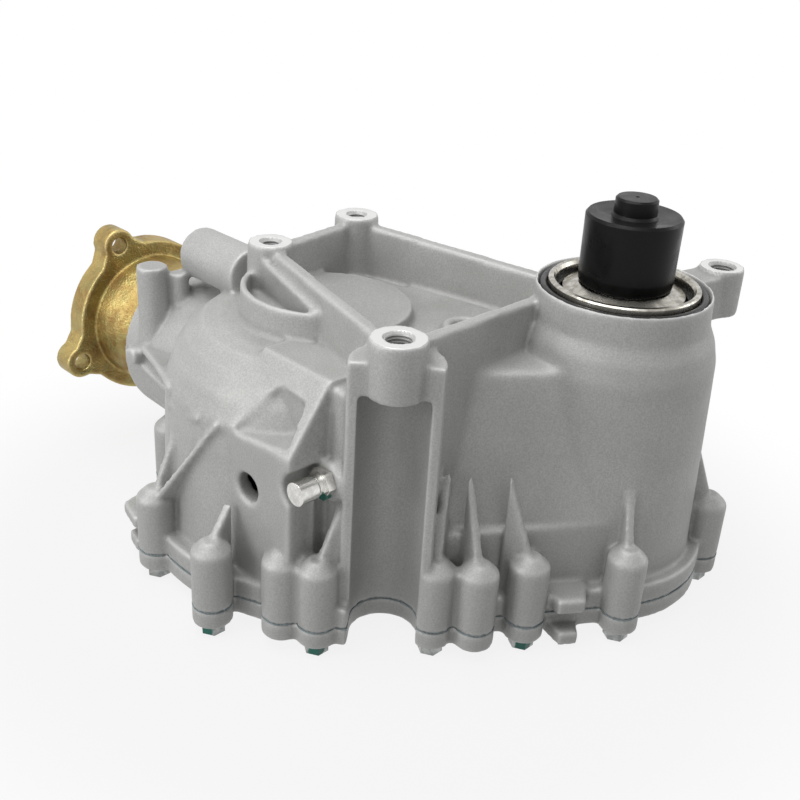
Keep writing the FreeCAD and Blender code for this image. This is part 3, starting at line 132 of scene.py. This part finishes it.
# Green marking paint: its colour, its uneven edge, and where the dabs are in millimetres
PAINT_GREEN = (0.0, 0.14, 0.10)
PAINT_RAGGED = 5.0 * MM
PAINT_REACH = (7.4 * MM, 6.4 * MM)
BOLT_DABS = [(-209.8, 94.0, -179.5), (-178.0, 42.0, -179.5), (-90.0, -27.5, -179.5)]
VENT_DABS = [(-172.0, 45.0, -89.5)]

# Studio: the fill, each lamp's place, size and power, and the floor, whose shadow fades out to white
FILL_STRENGTH = 0.15
LAMP_TARGET = (-0.06, 0.09, -0.08)
LAMPS = {"overhead": ((-0.40, 0.20, 1.40), (1.3, 1.1), 17.5),
         "left side": ((-1.45, 0.50, 0.45), (0.8, 0.9), 9.5),
         "right side": ((1.35, -0.75, 0.60), (0.7, 0.9), 5.5)}
FLOOR_DROP = 0.2 * MM
FLOOR_REACH = 6.0
FLOOR_TONE = 0.42
SHADOW_MIDDLE = (-0.08, 0.10)
SHADOW_FADE = (0.20, 0.36)
SHADOW_WHITE = 0.86

# The photograph's view: angles in degrees, place in metres, lens and sensor in millimetres
VIEW_AZIMUTH = -46.0
VIEW_PITCH = 26.6
VIEW_ROLL = 3.45
VIEW_PLACE = (-0.4862, -0.3065, 0.2044)
VIEW_LENS = 49.5
SENSOR_WIDTH = 36.0

# Sockets of a Mix node: its two inputs and its output, for colours and for values
COLOUR_SOCKETS = (6, 7, 2)
VALUE_SOCKETS = (2, 3, 0)


# Small tools for shader trees
def add(tree, kind, **values):
    """A node of that kind; each value goes to the input socket or the property of the same name."""
    node = tree.nodes.new(kind)
    for name, value in values.items():
        socket = node.inputs.get(name.replace("_", " "))
        if socket is not None:
            socket.default_value = value
        else:
            setattr(node, name, value)
    return node


def join(tree, source, target):
    tree.links.new(source, target)


def feed(tree, socket, value):
    """Gives an input socket its value, which is a constant or an output socket."""
    if isinstance(value, bpy.types.NodeSocket):
        join(tree, value, socket)
    else:
        socket.default_value = value


def blend(tree, data_type, sockets, mask, low, high):
    """Output that runs from low to high with the mask."""
    mix = tree.nodes.new("ShaderNodeMix")
    mix.data_type = data_type
    join(tree, mask, mix.inputs["Factor"])
    feed(tree, mix.inputs[sockets[0]], low)
    feed(tree, mix.inputs[sockets[1]], high)
    return mix.outputs[sockets[2]]


def blend_colours(tree, mask, low, high):
    """Colour that runs from low to high with the mask; each is a colour or an output socket."""
    ends = [value if isinstance(value, bpy.types.NodeSocket) else (*value, 1.0) for value in (low, high)]
    return blend(tree, "RGBA", COLOUR_SOCKETS, mask, *ends)


def blend_values(tree, mask, low, high):
    return blend(tree, "FLOAT", VALUE_SOCKETS, mask, low, high)


def calculate(tree, operation, first, second=0.0, clamp=False):
    node = add(tree, "ShaderNodeMath", operation=operation, use_clamp=clamp)
    feed(tree, node.inputs[0], first)
    feed(tree, node.inputs[1], second)
    return node.outputs[0]


def tint(tree, mask, share, under, colour):
    """Lays a colour over the one under it, as far as the mask and the share allow."""
    return blend_colours(tree, calculate(tree, "MULTIPLY", mask, share), under, colour)


def remap(tree, value, low, high, out_low=0.0, out_high=1.0):
    node = add(tree, "ShaderNodeMapRange", interpolation_type="SMOOTHSTEP")
    join(tree, value, node.inputs["Value"])
    for name, number in (("From Min", low), ("From Max", high), ("To Min", out_low), ("To Max", out_high)):
        node.inputs[name].default_value = number
    return node.outputs["Result"]


def new_group(name, inputs, outputs):
    """Empty node group with named float or vector sockets; returns the tree and its two ends."""
    tree = bpy.data.node_groups.new(name, "ShaderNodeTree")
    for label, kind, value in inputs:
        socket = tree.interface.new_socket(name=label, in_out="INPUT", socket_type=kind)
        socket.default_value = value
    for label, kind in outputs:
        tree.interface.new_socket(name=label, in_out="OUTPUT", socket_type=kind)
    return tree, tree.nodes.new("NodeGroupInput"), tree.nodes.new("NodeGroupOutput")


def place_group(tree, group, **values):
    node = tree.nodes.new("ShaderNodeGroup")
    node.node_tree = group
    for name, value in values.items():
        node.inputs[name.replace("_", " ")].default_value = value
    return node


def object_place(tree):
    return add(tree, "ShaderNodeTexCoord").outputs["Object"]


def upward(tree, vector):
    """The part of a vector along Z."""
    parts = add(tree, "ShaderNodeSeparateXYZ")
    join(tree, vector, parts.inputs[0])
    return parts.outputs["Z"]


def distance_from(tree, point):
    reach = add(tree, "ShaderNodeVectorMath", operation="DISTANCE")
    join(tree, object_place(tree), reach.inputs[0])
    reach.inputs[1].default_value = point
    return reach.outputs["Value"]


# Effects that several finishes share
def make_cast_grain():
    """Sand-blasted casting skin: broad clouding, and a fine grain with small pits."""
    tree, start, end = new_group(
        "Cast Grain",
        [("Cloud Scale", "NodeSocketFloat", 28.0), ("Grain Scale", "NodeSocketFloat", 1100.0)],
        [("Cloud", "NodeSocketFloat"), ("Speckle", "NodeSocketFloat"), ("Height", "NodeSocketFloat")])
    place = object_place(tree)
    cloud = add(tree, "ShaderNodeTexNoise", Detail=5.0, Roughness=0.62, Distortion=0.4)
    grain = add(tree, "ShaderNodeTexNoise", Detail=2.0, Roughness=0.6)
    pits = add(tree, "ShaderNodeTexVoronoi")
    for node, socket in ((cloud, "Cloud Scale"), (grain, "Grain Scale"), (pits, "Grain Scale")):
        join(tree, place, node.inputs["Vector"])
        join(tree, start.outputs[socket], node.inputs["Scale"])
    hollows = remap(tree, pits.outputs["Distance"], 0.05, 0.35)
    join(tree, cloud.outputs["Fac"], end.inputs["Cloud"])
    join(tree, remap(tree, grain.outputs["Fac"], 0.3, 0.7), end.inputs["Speckle"])
    height = calculate(tree, "ADD", grain.outputs["Fac"], calculate(tree, "MULTIPLY", hollows, 0.35))
    join(tree, height, end.inputs["Height"])
    return tree


def make_edge_light_and_shade():
    """Painted highlight along outer edges and painted shade as a darker line in inner corners, both from the
    curvature.
    """
    tree, start, end = new_group(
        "Painted Edge Light and Corner Shade", [("Spread", "NodeSocketFloat", 0.05)],
        [("Edge", "NodeSocketFloat"), ("Corner", "NodeSocketFloat")])
    bend = add(tree, "ShaderNodeNewGeometry").outputs["Pointiness"]
    outward = calculate(tree, "SUBTRACT", bend, 0.5)
    edge = calculate(tree, "DIVIDE", outward, start.outputs["Spread"], clamp=True)
    inward = calculate(tree, "MULTIPLY", outward, -1.0)
    corner = calculate(tree, "DIVIDE", inward, start.outputs["Spread"], clamp=True)
    join(tree, edge, end.inputs["Edge"])
    join(tree, corner, end.inputs["Corner"])
    return tree


def make_handling_smudges():
    """Slow uneven changes of gloss where a part has been handled and wiped."""
    tree, start, end = new_group(
        "Handling Smudges", [("Scale", "NodeSocketFloat", 40.0)], [("Smudge", "NodeSocketFloat")])
    place = object_place(tree)
    noise = add(tree, "ShaderNodeTexNoise", Detail=3.0, Distortion=1.5)
    join(tree, place, noise.inputs["Vector"])
    join(tree, start.outputs["Scale"], noise.inputs["Scale"])
    join(tree, remap(tree, noise.outputs["Fac"], 0.35, 0.68), end.inputs["Smudge"])
    return tree


def make_turning_marks():
    """Fine rings left by a lathe tool round an axis through a centre point."""
    tree, start, end = new_group(
        "Turning Marks",
        [("Centre", "NodeSocketVector", (0, 0, 0)), ("Across", "NodeSocketVector", (1, 1, 0)),
         ("Pitch", "NodeSocketFloat", 0.35 * MM)],
        [("Height", "NodeSocketFloat"), ("Radius", "NodeSocketFloat")])
    place = object_place(tree)
    offset = add(tree, "ShaderNodeVectorMath", operation="SUBTRACT")
    join(tree, place, offset.inputs[0])
    join(tree, start.outputs["Centre"], offset.inputs[1])
    flat = add(tree, "ShaderNodeVectorMath", operation="MULTIPLY")
    join(tree, offset.outputs[0], flat.inputs[0])
    join(tree, start.outputs["Across"], flat.inputs[1])
    length = add(tree, "ShaderNodeVectorMath", operation="LENGTH")
    join(tree, flat.outputs[0], length.inputs[0])
    turns = calculate(tree, "DIVIDE", length.outputs["Value"], start.outputs["Pitch"])
    wave = calculate(tree, "SINE", calculate(tree, "MULTIPLY", turns, 2 * math.pi))
    join(tree, wave, end.inputs["Height"])
    join(tree, length.outputs["Value"], end.inputs["Radius"])
    return tree


CAST_GRAIN = make_cast_grain()
EDGE_LIGHT_AND_SHADE = make_edge_light_and_shade()
HANDLING_SMUDGES = make_handling_smudges()
TURNING_MARKS = make_turning_marks()


def new_finish(name, **shader_values):
    """Material with one Principled shader; returns the material, its tree and the shader."""
    material = bpy.data.materials.new(name)
    material.use_nodes = True
    tree = material.node_tree
    shader = tree.nodes["Principled BSDF"]
    for label, value in shader_values.items():
        shader.inputs[label.replace("_", " ")].default_value = value
    return material, tree, shader


def roughen(tree, shader, height, distance, strength, rounding=0.0):
    """Bump from a height; a rounding above 0 also softens the shading of sharp edges."""
    bump = add(tree, "ShaderNodeBump", Distance=distance, Strength=strength)
    join(tree, height, bump.inputs["Height"])
    if rounding:
        bevel = add(tree, "ShaderNodeBevel", samples=6, Radius=rounding)
        join(tree, bevel.outputs["Normal"], bump.inputs["Normal"])
    join(tree, bump.outputs["Normal"], shader.inputs["Normal"])


def machined_mask(tree):
    """1 on the faces cut in the mounting plane: upright normal, height near 0."""
    normal = add(tree, "ShaderNodeNewGeometry").outputs["Normal"]
    level = remap(tree, upward(tree, object_place(tree)), -0.9 * MM, -0.3 * MM)
    upright = remap(tree, upward(tree, normal), 0.86, 0.97)
    return calculate(tree, "MULTIPLY", level, upright)


def machined_rings(tree):
    """Height of the tool marks round the centre of each machined face."""
    rings = None
    for x, y, radius in MACHINED_CENTRES:
        marks = place_group(tree, TURNING_MARKS, Centre=(x * MM, y * MM, 0.0), Pitch=CUT_PITCH)
        near = calculate(tree, "LESS_THAN", marks.outputs["Radius"], radius * MM)
        ring = calculate(tree, "MULTIPLY", marks.outputs["Height"], near)
        rings = ring if rings is None else calculate(tree, "ADD", rings, ring)
    return rings


def cast_aluminium(name):
    """Blasted aluminium casting with machined faces in the mounting plane."""
    material, tree, shader = new_finish(name)
    grain = place_group(tree, CAST_GRAIN, Cloud_Scale=16.0)
    # Masks for a painted highlight on outer edges and a painted shade in inner corners
    edge_light = place_group(tree, EDGE_LIGHT_AND_SHADE, Spread=0.06)
    smudge = place_group(tree, HANDLING_SMUDGES, Scale=34.0).outputs["Smudge"]
    cloud = remap(tree, grain.outputs["Cloud"], 0.25, 0.75)
    # Darker towards the split, in patches
    low_dark = remap(tree, upward(tree, object_place(tree)), DARKENING_TOP, SPLIT_HEIGHT, 0.0, DARKENING_SHARE)
    colour = blend_colours(tree, cloud, CAST_DULL, CAST_PALE)
    # Layers over the tone: speckle, stains, darkening towards the split, a painted highlight on outer edges
    # and a painted shade in inner corners
    for mask, share, layer in ((grain.outputs["Speckle"], 0.5, CAST_SPECKLE), (smudge, 0.10, CAST_STAIN),
                               (low_dark, cloud, CAST_LOW_DARK), (edge_light.outputs["Edge"], 0.55, CAST_EDGE_HIGHLIGHT),
                               (edge_light.outputs["Corner"], 0.6, CAST_CORNER_SHADE)):
        colour = tint(tree, mask, share, colour, layer)
    cut = machined_mask(tree)
    join(tree, blend_colours(tree, cut, colour, CAST_CUT), shader.inputs["Base Color"])
    join(tree, blend_values(tree, cut, 0.25, 0.95), shader.inputs["Metallic"])
    matt = blend_values(tree, smudge, 0.58, 0.48)
    join(tree, blend_values(tree, cut, matt, 0.30), shader.inputs["Roughness"])
    cut_height = calculate(tree, "MULTIPLY", calculate(tree, "MULTIPLY", machined_rings(tree), cut), 0.12)
    uncut = calculate(tree, "SUBTRACT", 1.0, cut)
    skin_height = calculate(tree, "MULTIPLY", grain.outputs["Height"], uncut)
    roughen(tree, shader, calculate(tree, "ADD", skin_height, cut_height), 0.16 * MM, 0.75)
    return material


def gold_zinc(name):
    """Yellow zinc plating over a rough casting, with the green and brown tints of that finish."""
    material, tree, shader = new_finish(name, Metallic=0.85)
    grain = place_group(tree, CAST_GRAIN, Cloud_Scale=55.0, Grain_Scale=620.0)
    smudge = place_group(tree, HANDLING_SMUDGES, Scale=75.0).outputs["Smudge"]
    edge_light = place_group(tree, EDGE_LIGHT_AND_SHADE, Spread=0.07)
    cloud = remap(tree, grain.outputs["Cloud"], 0.32, 0.7)
    gold = blend_colours(tree, cloud, (0.25, 0.155, 0.05), (0.47, 0.34, 0.12))
    green = tint(tree, smudge, 0.4, gold, (0.37, 0.37, 0.15))
    # Painted highlight: a paler gold laid along the outer edges of the flange
    edge_glint = tint(tree, edge_light.outputs["Edge"], 0.7, green, (0.66, 0.54, 0.26))
    join(tree, edge_glint, shader.inputs["Base Color"])
    join(tree, blend_values(tree, smudge, 0.48, 0.36), shader.inputs["Roughness"])
    roughen(tree, shader, grain.outputs["Height"], 0.42 * MM, 1.0)
    return material


def rubber(name, dark, pale, rough_low, rough_high, rounding=0.4 * MM, shine=0.35):
    """Rubber that runs from dark to pale, with a changing gloss and softly shaded edges."""
    material, tree, shader = new_finish(name, Specular_IOR_Level=shine)
    grain = place_group(tree, CAST_GRAIN, Cloud_Scale=90.0, Grain_Scale=1500.0)
    smudge = place_group(tree, HANDLING_SMUDGES, Scale=60.0)
    join(tree, blend_colours(tree, grain.outputs["Cloud"], dark, pale), shader.inputs["Base Color"])
    join(tree, blend_values(tree, smudge.outputs["Smudge"], rough_high, rough_low), shader.inputs["Roughness"])
    roughen(tree, shader, grain.outputs["Height"], 0.05 * MM, 0.5, rounding)
    return material


def turned_metal(name, dark, bright, rough, centre=(0.0, 0.0, 0.0), across=(1.0, 1.0, 0.0), pitch=0.5 * MM,
                 rounding=0.3 * MM):
    """Lathe-turned or ground metal, with rings round its axis and slow changes of tone."""
    material, tree, shader = new_finish(name, Metallic=1.0)
    marks = place_group(tree, TURNING_MARKS, Centre=centre, Across=across, Pitch=pitch)
    smudge = place_group(tree, HANDLING_SMUDGES, Scale=95.0)
    join(tree, blend_colours(tree, smudge.outputs["Smudge"], dark, bright), shader.inputs["Base Color"])
    join(tree, blend_values(tree, smudge.outputs["Smudge"], rough + 0.1, rough), shader.inputs["Roughness"])
    roughen(tree, shader, marks.outputs["Height"], 0.012 * MM, 0.35, rounding)
    return material


def plated_metal(name, dark, bright, rough, rounding=0.5 * MM, dabs=()):
    """Zinc-plated small parts; a dab is a spot of green marking paint at a point in millimetres."""
    material, tree, shader = new_finish(name)
    grain = place_group(tree, CAST_GRAIN, Cloud_Scale=160.0, Grain_Scale=1300.0)
    tone = remap(tree, grain.outputs["Cloud"], 0.35, 0.66)
    colour = blend_colours(tree, tone, dark, bright)
    paint = None
    for x, y, z in dabs:
        uneven = calculate(tree, "MULTIPLY", grain.outputs["Cloud"], PAINT_RAGGED)
        ragged = calculate(tree, "ADD", distance_from(tree, (x * MM, y * MM, z * MM)), uneven)
        spot = remap(tree, ragged, *PAINT_REACH)
        paint = spot if paint is None else calculate(tree, "MAXIMUM", paint, spot)
    if paint is None:
        shader.inputs["Metallic"].default_value = 1.0
        join(tree, colour, shader.inputs["Base Color"])
    else:
        join(tree, blend_colours(tree, paint, colour, PAINT_GREEN), shader.inputs["Base Color"])
        join(tree, calculate(tree, "SUBTRACT", 1.0, paint), shader.inputs["Metallic"])
    join(tree, blend_values(tree, tone, rough + 0.08, rough), shader.inputs["Roughness"])
    roughen(tree, shader, grain.outputs["Height"], 0.03 * MM, 0.4, rounding)
    return material


FINISHES = {
    "cast_aluminium": cast_aluminium("Cast Aluminium"),
    "zinc_gold": gold_zinc("Yellow Zinc"),
    "cap_rubber": rubber("Cap Rubber", (0.003, 0.003, 0.003), (0.006, 0.006, 0.006), 0.26, 0.38, shine=0.15),
    "seal_rubber": rubber("Seal Rubber", (0.012, 0.012, 0.013), (0.03, 0.03, 0.032), 0.45, 0.6),
    "o_ring_rubber": rubber("Ring Rubber", (0.008, 0.008, 0.009), (0.016, 0.016, 0.017), 0.24, 0.36),
    "sealant": rubber("Joint Sealant", (0.07, 0.08, 0.085), (0.42, 0.50, 0.52), 0.5, 0.65),
    "ring_steel": turned_metal("Pilot Steel", (0.30, 0.285, 0.25), (0.56, 0.54, 0.49), 0.22),
    "shaft_steel": turned_metal("Shaft Steel", (0.38, 0.38, 0.39), (0.55, 0.55, 0.56), 0.24),
    "gear_steel": plated_metal("Gear Steel", (0.30, 0.31, 0.33), (0.44, 0.45, 0.47), 0.3),
    "bearing_steel": plated_metal("Bearing Steel", (0.56, 0.57, 0.58), (0.66, 0.67, 0.68), 0.14, 0.2 * MM),
    "washer_steel": plated_metal("Washer Steel", (0.46, 0.45, 0.42), (0.56, 0.55, 0.52), 0.3, 0.2 * MM),
    "ring_bolt_steel": plated_metal("Blackened Steel", (0.03, 0.03, 0.032), (0.07, 0.07, 0.073), 0.38),
    "dowel_steel": plated_metal("Dowel Steel", (0.5, 0.5, 0.5), (0.6, 0.6, 0.6), 0.22, 0.2 * MM),
    "nut_steel": plated_metal("Nut Steel", (0.16, 0.16, 0.165), (0.26, 0.26, 0.265), 0.42),
    "vent_plating": plated_metal("Vent Plating", (0.60, 0.595, 0.57), (0.80, 0.79, 0.76), 0.2, 0.4 * MM,
                                 VENT_DABS),
    "bolt_steel": plated_metal("Bolt Zinc", (0.20, 0.21, 0.205), (0.40, 0.41, 0.40), 0.30, 0.5 * MM,
                               BOLT_DABS),
}


# Cast pieces: the solid is turned into even cells and relaxed, which rounds every edge and corner
def vertex_places(mesh):
    place = np.empty(len(mesh.vertices) * 3)
    mesh.vertices.foreach_get("co", place)
    return place.reshape(-1, 3)


def relax(mesh, rounds, strength, soft_places=()):
    """Moves each vertex towards the mean of its neighbours, and goes on at the soft places."""
    place = vertex_places(mesh)
    ends = np.empty(len(mesh.edges) * 2, dtype=np.int64)
    mesh.edges.foreach_get("vertices", ends)
    ends = ends.reshape(-1, 2)
    links = np.bincount(ends.ravel(), minlength=len(place))[:, None]
    softness = np.zeros((len(place), 1))
    for centre, reach in soft_places:
        away = np.linalg.norm(place - np.array(centre) * MM, axis=1, keepdims=True) / (reach * MM)
        softness = np.maximum(softness, np.clip(SOFT_FADE * (1.0 - away), 0.0, 1.0))
    for turn in range(rounds + (SOFT_ROUNDS if soft_places else 0)):
        total = np.zeros_like(place)
        np.add.at(total, ends[:, 0], place[ends[:, 1]])
        np.add.at(total, ends[:, 1], place[ends[:, 0]])
        share = strength if turn < rounds else strength * softness
        place += share * (total / links - place)
    return place


def fin(shape, crest, foot, width):
    """Adds an upright plate to a bmesh: its crest and its foot are lines of points in millimetres."""
    rings = []
    for index, (high, low) in enumerate(zip(crest, foot)):
        before, after = crest[max(index - 1, 0)], crest[min(index + 1, len(crest) - 1)]
        high, low = Vector(high), Vector(low)
        side = (Vector(after) - Vector(before)).cross(high - low).normalized() * (width / 2)
        corners = (low + side, high + side * FIN_TAPER, high - side * FIN_TAPER, low - side)
        rings.append([shape.verts.new(corner * MM) for corner in corners])
    for first, second in zip(rings, rings[1:]):
        for k in range(4):
            shape.faces.new((first[k], first[(k + 1) % 4], second[(k + 1) % 4], second[k]))
    shape.faces.new(rings[0][::-1])
    shape.faces.new(rings[-1])


def case_forms(shape):
    """Rim and gusset by the left boss, the long fin on the side and the stepped rib on the snout."""
    x, y = PLATFORM_CENTRE
    first, last = PLATFORM_RIM_ARC
    arc = [math.radians(first + (last - first) * k / RIM_STEPS) for k in range(RIM_STEPS + 1)]
    rim = [(x + PLATFORM_RIM_R * math.cos(a), y + PLATFORM_RIM_R * math.sin(a)) for a in arc]
    fin(shape, [(px, py, RIM_CREST) for px, py in rim], [(px, py, RIM_FOOT) for px, py in rim], RIM_WIDTH)
    for crest, foot, width in (GUSSET, SIDE_FIN, SNOUT_RIB, SNOUT_RIB_STEP, SNOUT_RIB_END):
        fin(shape, crest, foot, width)


EXTRA_FORMS = {"main_case": case_forms}


def soft_casting(node, voxel, rounds, levels=()):
    """Piece that stands for a cast node, with rounded edges; levels are heights of flat cut faces."""
    shape = bmesh.new()
    shape.from_mesh(frame["nodes"][node].data)
    if node in EXTRA_FORMS:
        EXTRA_FORMS[node](shape)
    bmesh.ops.recalc_face_normals(shape, faces=shape.faces[:])
    start = bpy.data.meshes.new(node + "_start")
    shape.to_mesh(start)
    shape.free()
    piece = bpy.data.objects.new(node + "_casting", start)
    bpy.context.scene.collection.objects.link(piece)
    even = piece.modifiers.new("even cells", "REMESH")
    even.mode = "VOXEL"
    even.voxel_size = voxel
    evaluated = piece.evaluated_get(bpy.context.evaluated_depsgraph_get())
    mesh = bpy.data.meshes.new_from_object(evaluated)
    piece.modifiers.clear()
    before = vertex_places(mesh)
    after = relax(mesh, rounds, RELAX_STRENGTH, SOFT_PLACES.get(node, ()))
    for level in levels:
        flat = np.abs(before[:, 2] - level) < 0.5 * voxel
        after[flat, 2] = level
    np.clip(after, cad_low, cad_high, out=after)
    mesh.vertices.foreach_set("co", after.ravel())
    mesh.polygons.foreach_set("use_smooth", [True] * len(mesh.polygons))
    mesh.update()
    piece.data = mesh
    return piece


def body_that_holds(node):
    return next(body for body, nodes in frame["record"]["behaviour"]["bodies"].items() if node in nodes)


def cast_piece(node, slot, voxel, rounds, levels=()):
    piece = soft_casting(node, voxel, rounds, levels)
    piece.data.materials.clear()
    piece.data.materials.append(FINISHES[slot])
    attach(piece, body_that_holds(node))
    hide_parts(node)


def dress_nodes():
    """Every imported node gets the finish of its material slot."""
    for row in frame["record"]["subparts"]:
        node = frame["nodes"][row["node"]]
        for slot in node.material_slots:
            slot.material = FINISHES[row["material_slot"]]


# Studio
def pale_backdrop_world():
    """White to the camera and in reflections, and a faint even fill for everything else."""
    world = bpy.data.worlds.new("Studio")
    bpy.context.scene.world = world
    world.use_nodes = True
    tree = world.node_tree
    tree.nodes.clear()
    fill = add(tree, "ShaderNodeBackground", Color=(0.97, 0.98, 1.0, 1.0), Strength=FILL_STRENGTH)
    seen = add(tree, "ShaderNodeBackground", Color=(1.0, 1.0, 1.0, 1.0), Strength=1.0)
    path = tree.nodes.new("ShaderNodeLightPath")
    shown = calculate(tree, "MAXIMUM", path.outputs["Is Camera Ray"], path.outputs["Is Transmission Ray"])
    shown = calculate(tree, "MAXIMUM", shown, path.outputs["Is Glossy Ray"])
    mix = tree.nodes.new("ShaderNodeMixShader")
    end = tree.nodes.new("ShaderNodeOutputWorld")
    join(tree, shown, mix.inputs[0])
    join(tree, fill.outputs[0], mix.inputs[1])
    join(tree, seen.outputs[0], mix.inputs[2])
    join(tree, mix.outputs[0], end.inputs["Surface"])


def floor_finish():
    """Pale matt floor; what the camera sees is white but for the shadow of the part."""
    material, tree, shader = new_finish("Pale Floor", Roughness=0.9)
    shader.inputs["Base Color"].default_value = (FLOOR_TONE, FLOOR_TONE, FLOOR_TONE, 1.0)
    glow = add(tree, "ShaderNodeEmission", Strength=1.0)
    path = tree.nodes.new("ShaderNodeLightPath")
    seen = calculate(tree, "MAXIMUM", path.outputs["Is Camera Ray"], path.outputs["Is Glossy Ray"])
    away = distance_from(tree, (*SHADOW_MIDDLE, cad_low[2]))
    white = remap(tree, away, *SHADOW_FADE, SHADOW_WHITE, 1.0)
    mix = tree.nodes.new("ShaderNodeMixShader")
    join(tree, calculate(tree, "MULTIPLY", seen, white), mix.inputs[0])
    join(tree, shader.outputs[0], mix.inputs[1])
    join(tree, glow.outputs[0], mix.inputs[2])
    join(tree, mix.outputs[0], tree.nodes["Material Output"].inputs["Surface"])
    return material


def lay_floor(height):
    mesh = bpy.data.meshes.new("floor")
    corners = [(x * FLOOR_REACH, y * FLOOR_REACH, height) for x, y in ((-1, -1), (1, -1), (1, 1), (-1, 1))]
    mesh.from_pydata(corners, [], [(0, 1, 2, 3)])
    floor = bpy.data.objects.new("floor", mesh)
    mesh.materials.append(floor_finish())
    bpy.context.scene.collection.objects.link(floor)


def soft_lamp(name, place, target, size, power):
    lamp = bpy.data.lights.new(name, "AREA")
    lamp.shape = "RECTANGLE"
    lamp.size, lamp.size_y = size
    lamp.energy = power
    holder = bpy.data.objects.new(name, lamp)
    holder.location = place
    holder.rotation_euler = (Vector(target) - Vector(place)).to_track_quat("-Z", "Y").to_euler()
    bpy.context.scene.collection.objects.link(holder)


def set_camera():
    camera = bpy.data.cameras.new("photo view")
    camera.lens = VIEW_LENS
    camera.sensor_width = SENSOR_WIDTH
    camera.clip_start = 0.01
    holder = bpy.data.objects.new("photo view", camera)
    turn = Matrix.Rotation(math.radians(VIEW_AZIMUTH), 4, "Z")
    tilt = Matrix.Rotation(math.radians(90.0 - VIEW_PITCH), 4, "X")
    roll = Matrix.Rotation(math.radians(VIEW_ROLL), 4, "Z")
    holder.matrix_world = Matrix.Translation(VIEW_PLACE) @ turn @ tilt @ roll
    bpy.context.scene.collection.objects.link(holder)
    bpy.context.scene.camera = holder


def boss_thread(index, centre, crest, root):
    """Turns of thread in the hole of a boss, as rings with a sharp crest; its back lies in the casting."""
    end = THREAD_START - THREAD_TURNS * THREAD_PITCH
    steps = [(root + THREAD_BACKING, THREAD_START)]
    for turn in range(THREAD_TURNS):
        steps += [(root, THREAD_START - turn * THREAD_PITCH),
                  (crest, THREAD_START - (turn + 0.5) * THREAD_PITCH)]
    steps += [(root, end), (root + THREAD_BACKING, end)]
    points, faces = [], []
    for radius, height in steps:
        for k in range(THREAD_SIDES):
            angle = 2 * math.pi * k / THREAD_SIDES
            points.append(((centre[0] + radius * math.cos(angle)) * MM,
                           (centre[1] + radius * math.sin(angle)) * MM, height))
    for ring in range(len(steps)):
        here, there = ring * THREAD_SIDES, (ring + 1) % len(steps) * THREAD_SIDES
        for k in range(THREAD_SIDES):
            beside = (k + 1) % THREAD_SIDES
            faces.append((here + k, here + beside, there + beside, there + k))
    mesh = bpy.data.meshes.new(f"boss_thread_{index}")
    mesh.from_pydata(points, [], faces)
    mesh.materials.append(FINISHES["cast_aluminium"])
    piece = bpy.data.objects.new(f"boss_thread_{index}", mesh)
    bpy.context.scene.collection.objects.link(piece)
    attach(piece, "housing")


dress_nodes()
for index, (centre, crest, root) in enumerate(THREADED_BOSSES):
    boss_thread(index, centre, crest, root)
cast_piece("main_case", "cast_aluminium", CASE_VOXEL, CASE_ROUNDS, (0.0, SPLIT_HEIGHT))
cast_piece("cover", "cast_aluminium", CASE_VOXEL, COVER_ROUNDS, (COVER_TOP,))
cast_piece("output_flange", "zinc_gold", FLANGE_VOXEL, FLANGE_ROUNDS)

pale_backdrop_world()
lay_floor(cad_low[2] - FLOOR_DROP)
for name, (place, size, power) in LAMPS.items():
    soft_lamp(name, place, LAMP_TARGET, size, power)
set_camera()
bpy.context.scene.view_settings.view_transform = "Standard"
